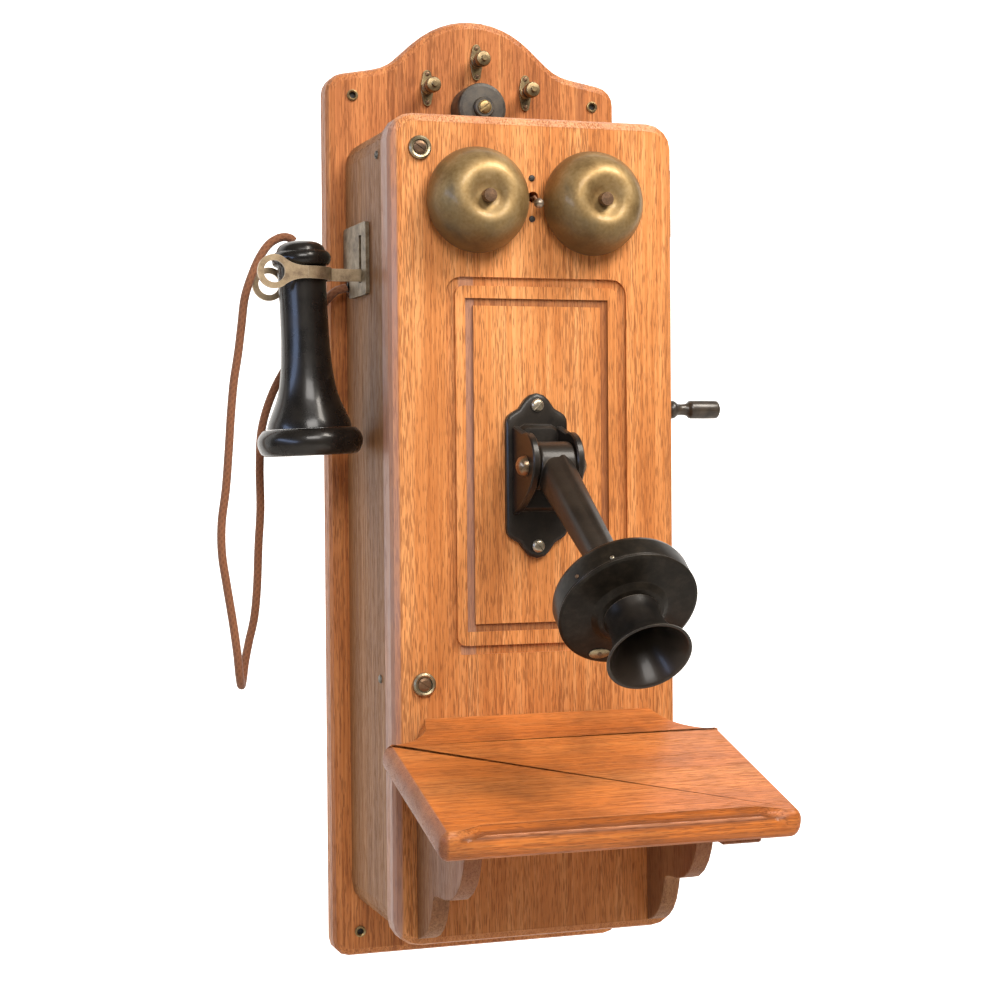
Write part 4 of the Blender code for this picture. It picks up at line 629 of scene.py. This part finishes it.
for side_name, gong_x, seed in (("left", -0.0440, 2.0), ("right", 0.0405, 8.0)):
    gong_brass = Finish("gong_brass_" + side_name)
    x, z = gong_brass.axis(0) - gong_x, gong_brass.axis(2) - GONG_Z
    cloud = gong_brass.noise(55, detail=4, seed=seed, rough=0.6)
    speck = gong_brass.noise(420, detail=3, seed=seed + 2.0)
    # Darker towards the lower left, nearly black: partly tarnish, partly painted shade where the gong turns away from
    # the light above.
    lower = ((x * -0.42 - z * 0.90) * 30 - 0.20 + (cloud - 0.5) * 1.5).held()
    tone = gong_brass.ramp((cloud * 0.7 + speck * 0.3).held(), (0.36, (0.250, 0.158, 0.062)),
                           (0.50, (0.345, 0.228, 0.094)), (0.64, (0.430, 0.300, 0.140)))
    tone = gong_brass.mix(lower * 0.85, tone, (0.045, 0.034, 0.017))
    radius = (x * x + z * z) ** 0.5
    rim = ((radius - 0.0330) * 500).held()
    tone = gong_brass.mix(rim * 0.55, tone, (0.170, 0.115, 0.045))
    scar = ((x * -1 - 0.0235) * 500).held() * ((0.0290 + x) * 500).held() * (0.6 - abs(z - 0.004) * 60).held()
    tone = gong_brass.mix((scar * (cloud * 3 - 0.9).held()).held() * 0.8, tone, (0.030, 0.030, 0.028))
    gong_brass.shade(tone, 0.42 + 0.18 * cloud + lower * 0.06, 0.74,
                     gong_brass.bump(cloud, 0.0002, 0.4), coat=0.16, coat_rough=0.08)
    bm = bmesh.new()
    turned(bm, GONG_PROFILE + GONG_INSIDE, stand((gong_x, GONG_FACE, GONG_Z), FRONT), 96, True)
    piece("gong_spun_" + side_name, bm, gong_brass, "door", ["gong_" + side_name])
refinish(screw_brown, "gong_post_left", "gong_post_right")
clapper_steel = metal("clapper_steel", (0.50, 0.42, 0.34), (0.34, 0.28, 0.22), (0.17, 0.13, 0.10), 0.34, 0.8, 3.0)
refinish(clapper_steel, "clapper")

# ---- transmitter --------------------------------------------------------------------------
# A japanned cast bracket with a raised block between its ears, a tapered arm with a ridge
# along it, and the can with its screwed face and flared hard-rubber mouthpiece.
japan = Finish("black_japan")
haze = japan.noise(45, detail=4, seed=7.0)
grit = japan.noise(700, detail=3, seed=1.0)
japan_colour = japan.ramp((haze * 0.8 + grit * 0.2).held(), (0.36, (0.0095, 0.0075, 0.0060)),
                          (0.64, (0.0250, 0.0190, 0.0140)))
chip = (japan.worn(0.0011, 3.0) * (haze * 3.2 - 1.15).held()).held()
japan_colour = japan.mix(chip * 0.8, japan_colour, (0.27, 0.215, 0.165))
japan.shade(japan_colour, 0.30 + 0.20 * haze, 0.0, japan.bump(grit + haze, 0.00010, 0.5), 0.14, 0.12)
japan.shader.inputs["Specular IOR Level"].default_value = 0.28
pivot_brown = metal("pivot_brown", (0.46, 0.34, 0.22), (0.27, 0.185, 0.115), (0.10, 0.068, 0.044), 0.28, 0.85, 27.0,
                    (0.75, 0.62, 0.45))
PIVOT = Vector((-0.0010, -0.1870, 0.0070))
CUP_TILT = math.radians(38.6)
CUP_TURN = (math.pi / 2 + CUP_TILT, 0, 0)
CUP_PLACE = Vector((0.0, -0.3220, -0.0820))


base_half = [(0.0052, -0.0560), (0.0086, -0.0530), (0.0130, -0.0468), (0.0180, -0.0440), (0.0207, -0.0420),
             (0.0222, -0.0392), (0.0225, -0.0365), (0.0225, 0.0365), (0.0222, 0.0392), (0.0207, 0.0420),
             (0.0180, 0.0440), (0.0130, 0.0468), (0.0086, 0.0530), (0.0052, 0.0560)]
base_outline = [(0.0, -0.0575)] + base_half + [(0.0, 0.0575)] + [(-u, v) for u, v in reversed(base_half)]
bm = bmesh.new()
rings = []
for inset, level_now in ((0.0, GONG_FACE), (0.0, GONG_FACE - 0.0036), (0.0008, GONG_FACE - 0.0046),
                         (0.0020, GONG_FACE - 0.0052), (0.0052, GONG_FACE - 0.0053)):
    rings.append([Vector((PIVOT.x + u * (1 - inset / 0.0225), level_now, v * (1 - inset / 0.0400)))
                  for u, v in base_outline])
made = joined(bm, rings)
bm.faces.new(made[0])
bm.faces.new(made[-1])
block = [(-0.0165, -0.0250), (-0.0180, -0.0200), (-0.0180, 0.0230), (-0.0150, 0.0330), (-0.0100, 0.0360),
         (0.0100, 0.0360), (0.0150, 0.0330), (0.0180, 0.0230), (0.0180, -0.0200), (0.0165, -0.0250)]
rings = [[Vector((PIVOT.x + u * share, level_now, 0.003 + (v - 0.003) * share)) for u, v in block]
         for share, level_now in ((1.0, -0.1590), (0.97, -0.1625), (0.90, -0.1645), (0.82, -0.1648))]
made = joined(bm, rings)
bm.faces.new(made[-1])
ear = ([(-0.1600, 0.0345)] + arc((-0.1836, 0.0100), 0.0199, 78, 214, 22)
       + [(-0.1960, -0.0068), (-0.1890, -0.0125), (-0.1790, -0.0190), (-0.1690, -0.0240), (-0.1600, -0.0265)])
for sign in (-1, 1):
    low, high = sorted((PIVOT.x + sign * 0.0133, PIVOT.x + sign * 0.0186))
    loops = []
    for share, x_now in ((0.965, low), (1.0, low + 0.0010), (1.0, high - 0.0010), (0.965, high)):
        loops.append([Vector((x_now, -0.1790 + (v + 0.1790) * share, 0.005 + (w - 0.005) * share)) for v, w in ear])
    made = joined(bm, loops)
    bm.faces.new(made[0])
    bm.faces.new(made[-1])
piece("bracket_cast", bm, japan, "door", ["transmitter_base"], 34)
for name, screw_z, slot_angle in (("top", 0.0490, 0.80), ("bottom", -0.0490, -0.80)):
    bm = bmesh.new()
    slotted_head(bm, (PIVOT.x, GONG_FACE - 0.0052, screw_z), FRONT, 0.0046, 0.0025, slot_angle, 0.11)
    turned(bm, [(0, 0.0), (0.0017, 0.0), (0.0017, -0.0050), (0, -0.0050)],
           stand((PIVOT.x, GONG_FACE - 0.0052, screw_z), FRONT), 20)
    piece("bracket_screw_" + name, bm, nickel, "door", ["transmitter_base_screw_" + name])

bm = bmesh.new()
turned(bm, [(0, 0.0252), (0.0030, 0.0248), (0.0056, 0.0234), (0.0070, 0.0212), (0.0073, 0.0188), (0.0031, 0.0187),
            (0.0031, -0.0187), (0.0073, -0.0188), (0.0070, -0.0212), (0.0056, -0.0234), (0.0030, -0.0248),
            (0, -0.0252)], stand(PIVOT, RIGHTWARD), 40)
piece("pivot_domed", bm, pivot_brown, "door", ["transmitter_pivot_bolt"], 40)

axis = stand(CUP_PLACE, CUP_TURN)
arm_end = axis @ Vector((0, 0, -0.0283))
arm_way = (arm_end - PIVOT).normalized()
arm_up = Vector((1, 0, 0)).cross(arm_way).normalized()
if arm_up.z < 0:
    arm_up = -arm_up
arm_long = (arm_end - PIVOT).length
bm = bmesh.new()
turned(bm, [(0.0033, 0.0127), (0.0155, 0.0127), (0.0166, 0.0116), (0.0166, -0.0116), (0.0155, -0.0127),
            (0.0033, -0.0127)], stand(PIVOT, RIGHTWARD), 64, True, 0.0008)
rings = []
for share in [i / 14 for i in range(15)]:
    centre = PIVOT + arm_way * (0.0050 + (arm_long - 0.0056) * share)
    wide = 0.0127 - 0.0030 * share + 0.0016 * max(0.0, share - 0.88) / 0.12
    tall = 0.0140 - 0.0058 * share ** 0.6 + 0.0014 * max(0.0, share - 0.88) / 0.12
    ring = []
    for k in range(40):
        a = math.tau * k / 40
        u, v = math.cos(a), math.sin(a)
        squared = (abs(u) ** 3.2 + abs(v) ** 3.2) ** (-1 / 3.2)
        ridge = 0.0010 * math.exp(-((a - math.pi * 0.42) / 0.16) ** 2)
        ring.append(centre + Vector((1, 0, 0)) * wide * u * squared + arm_up * (tall * v * squared + ridge))
    rings.append(ring)
made = joined(bm, rings)
bm.faces.new(made[0])
bm.faces.new(made[-1])
piece("arm_cast", bm, japan, "transmitter", ["transmitter_arm"], 42)

can = metal("japanned_can", (0.022, 0.017, 0.012), (0.013, 0.010, 0.007), (0.008, 0.006, 0.004), 0.32, 0.0, 31.0,
            (0.36, 0.285, 0.21), 0.0009)
can.shader.inputs["Coat Weight"].default_value = 0.06
can.shader.inputs["Specular IOR Level"].default_value = 0.15
bm = bmesh.new()
turned(bm, [(0.0, -0.0280), (0.0120, -0.0280), (0.0155, -0.0264), (0.0230, -0.0234), (0.0330, -0.0212),
            (0.0405, -0.0196), (0.0440, -0.0176), (0.0450, -0.0148), (0.0450, -0.0012), (0.0425, -0.0012),
            (0.0425, -0.0140), (0.0, -0.0200)], axis, 96, False, 0.0009)
piece("can_spun", bm, can, "transmitter", ["transmitter_cup"], 42)
bm = bmesh.new()
turned(bm, [(0.0130, 0.0062), (0.0188, 0.0064), (0.0214, 0.0058), (0.0234, 0.0044), (0.0252, 0.0030),
            (0.0300, 0.0022), (0.0400, 0.0016), (0.0436, 0.0013), (0.0452, 0.0006), (0.0455, -0.0002),
            (0.0453, -0.0009), (0.0300, -0.0008), (0.0230, 0.0006), (0.0200, 0.0030), (0.0130, 0.0030)],
       axis, 96, True, 0.0004)
piece("face_spun", bm, can, "transmitter", ["transmitter_face"], 42)
horn = Finish("mouthpiece_rubber")
haze = horn.noise(60, detail=3, seed=13.0)
depth = (horn.axis(2) + 0.1190) * 40
horn_colour = horn.ramp(haze, (0.35, (0.0075, 0.0066, 0.0060)), (0.65, (0.0190, 0.0150, 0.0120)))
horn_colour = horn.mix((1 - depth).held() * 0.55, horn_colour, (0.050, 0.034, 0.024))
horn_colour = horn.mix((horn.worn(0.0009, 3.0) * (haze * 2.8 - 0.8).held()).held() * 0.8, horn_colour,
                       (0.23, 0.19, 0.15))
horn.shade(horn_colour, 0.26 + 0.18 * haze, 0.0, horn.bump(haze, 0.0001, 0.4), 0.10, 0.10)
horn.shader.inputs["Specular IOR Level"].default_value = 0.30
bm = bmesh.new()
turned(bm, [(0.0264, 0.0434), (0.0273, 0.0430), (0.0272, 0.0422), (0.0256, 0.0402), (0.0238, 0.0378),
            (0.0220, 0.0347), (0.0204, 0.0313), (0.0190, 0.0272), (0.0180, 0.0235), (0.0174, 0.0195),
            (0.0172, 0.0150), (0.0174, 0.0110), (0.0181, 0.0082), (0.0184, 0.0067), (0.0100, 0.0067),
            (0.0100, 0.0140), (0.0113, 0.0185), (0.0135, 0.0228), (0.0158, 0.0270), (0.0180, 0.0310),
            (0.0200, 0.0345), (0.0224, 0.0386), (0.0245, 0.0418), (0.0256, 0.0432)], axis, 96, True)
piece("mouthpiece_horn", bm, horn, "transmitter", ["mouthpiece"], 50)
bm = bmesh.new()
turned(bm, [(0.0, 0.0068), (0.0099, 0.0068), (0.0099, 0.0062), (0.0, 0.0062)], axis, 48)
piece("throat_grille", bm, black_iron, "transmitter")


def on_can(angle, height):
    """A frame on the can's side, at an angle round it, whose Z stands off the metal."""
    spin = math.radians(angle)
    outward = axis.to_3x3() @ Vector((math.cos(spin), math.sin(spin), 0))
    place = axis @ Vector((0.0449 * math.cos(spin), 0.0449 * math.sin(spin), height))
    return place, outward.to_track_quat("Z", "Y").to_euler()


for name, angle, height, finish in (("rim_screw_bright", 116, -0.0030, nickel),
                                    ("rim_screw_brown", 148, -0.0050, screw_brown),
                                    ("rim_screw_right", 20, -0.0030, nickel),
                                    ("rim_screw_under", 255, -0.0030, screw_brown)):
    bm = bmesh.new()
    place, turn = on_can(angle, height)
    slotted_head(bm, place, turn, 0.0014, 0.0009, 0.3)
    piece(name, bm, finish, "transmitter")
bm = bmesh.new()
plate_frame = axis @ Matrix.Translation((-0.0115, -0.0355, 0.0021))
turned(bm, [(0.0, 0.0006), (0.0050, 0.0006), (0.0056, 0.0003), (0.0056, -0.0004), (0.0, -0.0004)],
       plate_frame @ Matrix.Diagonal((1.25, 0.72, 1.0, 1.0)), 40)
piece("face_plate", bm, cup_metal, "transmitter")
bm = bmesh.new()
slotted_head(bm, plate_frame @ Vector((0.0, 0.0, 0.0006)), CUP_TURN, 0.0016, 0.0008, 0.5)
piece("face_plate_screw", bm, screw_brown, "transmitter")

# ---- writing shelf ------------------------------------------------------------------------
# An oak shelf with coved back corners, a worn round edge and, along the front only, a stopped
# moulding: an arris, a cove and a second arris. Two scrolled brackets hold it to the door.
SHELF_HALF, SHELF_LONG, SHELF_THICK, SHELF_SLOPE = 0.1225, 0.1750, 0.0200, math.radians(16.5)
SHELF_PLACE = Vector((0.0, GONG_FACE, -0.1662))
shelf_oak = oak("oak_shelf", ALONG, ((0.430, 0.115, 0.020), (0.590, 0.175, 0.034), (0.720, 0.250, 0.060),
                                     (0.165, 0.050, 0.014)), 41.0, 0.42, 0.30, 24)
stain = (shelf_oak.noise(17, (1, 1.6, 1), 3, 3.0) * 2.6 - 1.12).held()
smudge = (shelf_oak.noise(42, (1, 1, 1), 3, 21.0) * 2.8 - 1.35).held()
colour = shelf_oak.mix(stain * 0.55, shelf_oak.colour, (0.150, 0.058, 0.022))
colour = shelf_oak.mix(smudge * 0.35, colour, (0.110, 0.040, 0.016))
colour = shelf_oak.mix(shelf_oak.worn(0.0022, 2.2) * 0.45, colour, (0.780, 0.350, 0.140))
left_end = ((-0.1165 - shelf_oak.axis(0)) * 500).held()
colour = shelf_oak.mix(left_end * 0.5, colour, (0.150, 0.070, 0.055))
out, up = shelf_oak.axis(1) - SHELF_PLACE.y, shelf_oak.axis(2) - SHELF_PLACE.z
along = out * math.cos(SHELF_SLOPE) + up * math.sin(SHELF_SLOPE)
level = up * math.cos(SHELF_SLOPE) - out * math.sin(SHELF_SLOPE)
# Painted shade: dark lines along the front moulding, one in its quirk and one just under the top arris.
front = ((-0.1500 - along) * 300).held() * ((0.1120 - abs(shelf_oak.axis(0))) * 300).held()
quirk_painted_shade = (1 - abs(level + 0.0050) * 600).held() + (1 - abs(level + 0.0004) * 2500).held() * 0.6
colour = shelf_oak.mix(front * quirk_painted_shade.held() * 0.75, colour, (0.085, 0.026, 0.010))
shelf_oak.shade(colour, shelf_oak.gloss + 0.08, normal=shelf_oak.relief, coat=0.10, coat_rough=0.20)


half = [(x / 1000, SHELF_LONG) for x in range(0, 114, 3)]
half += arc((SHELF_HALF - 0.007, SHELF_LONG - 0.007), 0.007, 84, 0, 6)
half += [(SHELF_HALF, SHELF_LONG - d / 1000) for d in range(16, 128, 12)]
half += [(SHELF_HALF, 0.0392), (SHELF_HALF - 0.0012, 0.0374)]
half += arc((SHELF_HALF - 0.0010, 0.0045), 0.0320, 99, 170, 9)
half += [(0.0835, 0.0030), (0.0830, 0.0002)]
outline = [(x, -d) for x, d in half] + [(-x, -d) for x, d in reversed(half[1:])]
PLAIN = [(0.0, 0.0064), (0.0, 0.0048), (0.0011, 0.0037), (0.0022, 0.0024), (0.0038, 0.0012),
         (0.0060, 0.0003), (0.0085, 0.0), (0.0110, 0.0), (0.0135, 0.0002), (0.0160, 0.0010), (0.0182, 0.0024),
         (0.0194, 0.0040), (0.0200, 0.0060)]
MOULDED = [(0.0, 0.0134), (0.0, 0.0118), (0.0026, 0.0113), (0.0046, 0.0102), (0.0053, 0.0080),
           (0.0048, 0.0058), (0.0036, 0.0042), (0.0052, 0.0024), (0.0084, 0.0006), (0.0125, 0.0),
           (0.0165, 0.0010), (0.0189, 0.0030), (0.0200, 0.0056)]
shelf_frame = Matrix.Translation(SHELF_PLACE) @ Matrix.Rotation(SHELF_SLOPE, 4, "X")
bm = bmesh.new()
rings = []
for (plain_t, plain_in), (moulded_t, moulded_in) in zip(PLAIN, MOULDED):
    ring = []
    count = len(outline)
    for k, (x, d) in enumerate(outline):
        before, after = outline[k - 1], outline[(k + 1) % count]
        tangent = Vector((after[0] - before[0], after[1] - before[1], 0)).normalized()
        inward = Vector((tangent.y, -tangent.x, 0))
        if inward.dot(Vector((x, d + 0.09, 0))) > 0:
            inward = -inward
        at_front = max(0.0, min(1.0, (0.1125 - abs(x)) / 0.019)) if d < -0.9 * SHELF_LONG else 0.0
        drop = plain_t + (moulded_t - plain_t) * at_front
        inset = plain_in + (moulded_in - plain_in) * at_front
        if d > -0.004:
            inset *= 0.02
        ring.append(shelf_frame @ Vector((x + inward.x * inset, d + inward.y * inset, -drop)))
    rings.append(ring)
for ring in rings:
    for point in ring:
        point.y = min(point.y, GONG_FACE)
made = joined(bm, rings)
bm.faces.new(made[0])
bm.faces.new(made[-1])
shelf = piece("shelf_moulded", bm, shelf_oak, "door", ["writing_shelf"], 22)
for polygon in shelf.data.polygons:
    polygon.use_smooth = len(polygon.vertices) < 20

bracket_oak = oak("oak_bracket", UP, ((0.170, 0.068, 0.026), (0.260, 0.112, 0.044), (0.340, 0.158, 0.066),
                                      (0.070, 0.028, 0.012)), 57.0, 0.40, 0.40, 30)
depth = ((-0.1700 - bracket_oak.axis(1)) * 12).held()
colour = bracket_oak.mix(depth * 0.35, bracket_oak.colour, (0.260, 0.075, 0.040))
colour = bracket_oak.mix(bracket_oak.worn(0.0018, 2.2) * 0.35, colour, (0.42, 0.21, 0.11))
bracket_oak.shade(colour, bracket_oak.gloss + 0.05, normal=bracket_oak.relief, coat=0.05)
drop = SHELF_THICK / math.cos(SHELF_SLOPE) + 0.0003
scroll = [(-0.2640, -0.2350), (-0.2625, -0.2440), (-0.2590, -0.2530), (-0.2530, -0.2620), (-0.2440, -0.2700),
          (-0.2330, -0.2755), (-0.2180, -0.2785), (-0.2020, -0.2795), (-0.1950, -0.2810), (-0.1925, -0.2840),
          (-0.1905, -0.2900), (-0.1860, -0.2990), (-0.1790, -0.3070), (-0.1700, -0.3130), (-0.1620, -0.3160),
          (GONG_FACE, -0.3180)]
for name, bracket_x, share in (("left", -0.0835, 1.0), ("right", 0.0875, 0.82)):
    edge_line = [(GONG_FACE + (y - GONG_FACE) * share, z) for y, z in scroll]
    under = [(y, SHELF_PLACE.z - drop + (y - GONG_FACE) * math.tan(SHELF_SLOPE))
             for y in (GONG_FACE, edge_line[0][0])]
    bm = bmesh.new()
    prism(bm, under + edge_line, bracket_x - 0.0061, bracket_x + 0.0061,
          lambda u, v, level_now: Vector((level_now, u, v)))
    piece("bracket_scrolled_" + name, bm, bracket_oak, "door", ["shelf_bracket_" + name], 40, 0.0009)
bm = bmesh.new()
batten = [(0.0, 0.0), (0.0, -0.0058), (0.0090, -0.0066), (0.0120, -0.0052), (0.0120, 0.0)]
middle = shelf_frame @ Vector((0.0, -0.1600, -SHELF_THICK - 0.0002))
prism(bm, batten, 0.0720, 0.0980, lambda u, v, level_now: middle + Vector((level_now, -u + 0.0075, v)))
piece("shelf_batten", bm, bracket_oak, "door", (), 30, 0.0006)

# ---- switch hook --------------------------------------------------------------------------
# A flat nickelled bar through a slotted plate, ending in a fork round the receiver's neck,
# with a ring on each prong. The rings run into the prongs with round fillets.
HOOK_Y, HOOK_Z, RECEIVER_X = -0.0715, 0.1444, -0.1472
hook_nickel = metal("hook_nickel", (0.50, 0.385, 0.25), (0.39, 0.295, 0.185), (0.23, 0.165, 0.105), 0.40, 0.62, 33.0,
                    (0.76, 0.66, 0.50))
plate_steel = metal("plate_steel", (0.27, 0.225, 0.155), (0.185, 0.145, 0.092), (0.095, 0.070, 0.044), 0.46, 0.55,
                    37.0, (0.42, 0.37, 0.28))
refinish(plate_steel, "hook_escutcheon")
bm = bmesh.new()
prism(bm, [(-0.1272, -0.0044), (-0.0600, -0.0044), (-0.0600, 0.0044), (-0.1272, 0.0044)], HOOK_Y - 0.0014,
      HOOK_Y + 0.0014, lambda u, v, level_now: Vector((u, level_now, HOOK_Z + v)))
turned(bm, [(0, 0.0062), (0.0022, 0.0062), (0.0022, 0.0030), (0.0060, 0.0030), (0.0060, -0.0030),
            (0.0022, -0.0030), (0.0022, -0.0062), (0, -0.0062)], stand((-0.0600, HOOK_Y, HOOK_Z), FRONT), 28)
bend = [(RECEIVER_X + 0.0200 * math.cos(a), HOOK_Y + 0.0200 * math.sin(a))
        for a in (math.radians(-90 + 7.5 * i) for i in range(25))]
for sign in (-1, 1):
    eye_x, eye_z = (RECEIVER_X - 0.0242, HOOK_Z) if sign < 0 else (RECEIVER_X - 0.0195, HOOK_Z - 0.0058)
    reach, rise = RECEIVER_X - eye_x, HOOK_Z - eye_z
    shares = [i / 12 for i in range(13)]
    rim = [(reach + (0.0080 - reach) * t, rise + 0.0044 + (0.0089 - rise - 0.0044) * t ** 2.4) for t in shares]
    rim += arc((0.0, 0.0), 0.0120, 52, 308, 44)
    rim += [(reach + (0.0080 - reach) * t, rise - 0.0044 + (-0.0089 - rise + 0.0044) * t ** 2.4)
            for t in reversed(shares)]
    bore = [(0.0077 * math.cos(math.atan2(v, u)), 0.0077 * math.sin(math.atan2(v, u))) for u, v in rim]
    loops = [[Vector((eye_x + u, HOOK_Y + sign * 0.0200 + level_now, eye_z + v)) for u, v in outline_now]
             for outline_now, level_now in ((rim, -0.0014), (bore, -0.0014), (bore, 0.0014), (rim, 0.0014))]
    joined(bm, loops, True)
rings = []
for k, (u, v) in enumerate(bend):
    outward = Vector((u - RECEIVER_X, v - HOOK_Y, 0)).normalized()
    rings.append([Vector((u, v, HOOK_Z)) + outward * a + Vector((0, 0, b))
                  for a, b in ((0.0014, 0.0044), (-0.0014, 0.0044), (-0.0014, -0.0044), (0.0014, -0.0044))])
made = joined(bm, rings)
bm.faces.new(made[0])
bm.faces.new(made[-1])
piece("hook_forged", bm, hook_nickel, "hook", ["hook_lever"], 40, 0.0004)

# ---- receiver -----------------------------------------------------------------------------
# A turned hard-rubber shell with a domed tail cap, stepped where it screws on, a waist that
# flares out, and a screwed ear cap with a small ledge.
RECEIVER = stand((RECEIVER_X, HOOK_Y, 0.1500), (0, math.radians(-2.4), 0))
bm = bmesh.new()
turned(bm, [(0.0, 0.0183), (0.0045, 0.0182), (0.0085, 0.0176), (0.0118, 0.0166), (0.0145, 0.0152), (0.0163, 0.0134),
            (0.0171, 0.0116), (0.0174, 0.0106), (0.0184, 0.0101), (0.0196, 0.0093), (0.0207, 0.0078), (0.0212, 0.0058),
            (0.0211, 0.0038), (0.0204, 0.0017), (0.0191, 0.0003), (0.0176, 0.0), (0.0171, -0.0008),
            (0.0170, -0.0140), (0.0170, -0.0320), (0.0172, -0.0500), (0.0176, -0.0600), (0.0181, -0.0690),
            (0.0190, -0.0780), (0.0201, -0.0850), (0.0216, -0.0915), (0.0234, -0.0968), (0.0254, -0.1015),
            (0.0275, -0.1065), (0.0292, -0.1105), (0.0301, -0.1140), (0.0303, -0.1152), (0.0, -0.1152)],
       RECEIVER, 72)
piece("receiver_shell", bm, ebonite, "receiver", ["receiver_body"], 30)
bm = bmesh.new()
turned(bm, [(0.0, -0.1155), (0.0313, -0.1155), (0.0326, -0.1158), (0.0338, -0.1165), (0.0350, -0.1180),
            (0.0364, -0.1198), (0.0373, -0.1218), (0.0376, -0.1240), (0.0376, -0.1262), (0.0372, -0.1282),
            (0.0366, -0.1296), (0.0363, -0.1306), (0.0352, -0.1326), (0.0334, -0.1341), (0.0306, -0.1347),
            (0.0280, -0.1343), (0.0220, -0.1325), (0.0150, -0.1315), (0.0060, -0.1313), (0.0, -0.1313)],
       RECEIVER, 96)
piece("receiver_cap", bm, ebonite, "receiver", ["receiver_ear_cap"], 30)

# ---- crank --------------------------------------------------------------------------------
# The generator crank on the right: a short steel arm and a turned, blackened grip that is
# held by a headed stud.
grip_wood = metal("grip_black", (0.060, 0.046, 0.034), (0.034, 0.026, 0.019), (0.015, 0.012, 0.010), 0.36, 0.05,
                  43.0, (0.20, 0.13, 0.08), 0.0012)
grip_wood.shader.inputs["Coat Weight"].default_value = 0.3
bm = bmesh.new()
turned(bm, [(0.0025, 0.1744), (0.0058, 0.1744), (0.0067, 0.1736), (0.0069, 0.1724), (0.0070, 0.1640),
            (0.0069, 0.1524), (0.0066, 0.1512), (0.0058, 0.1504), (0.0048, 0.1492), (0.0044, 0.1470),
            (0.0042, 0.1440), (0.0046, 0.1416), (0.0054, 0.1402), (0.0064, 0.1390), (0.0069, 0.1376),
            (0.0068, 0.1360), (0.0059, 0.1344), (0.0050, 0.1328), (0.0049, 0.1300), (0.0056, 0.1225),
            (0.0061, 0.1212), (0.0056, 0.1206), (0.0025, 0.1206)], stand((0, -0.0750, 0.0480), RIGHTWARD), 48, True)
piece("grip_turned", bm, grip_wood, "grip", ["crank_grip"], 40)
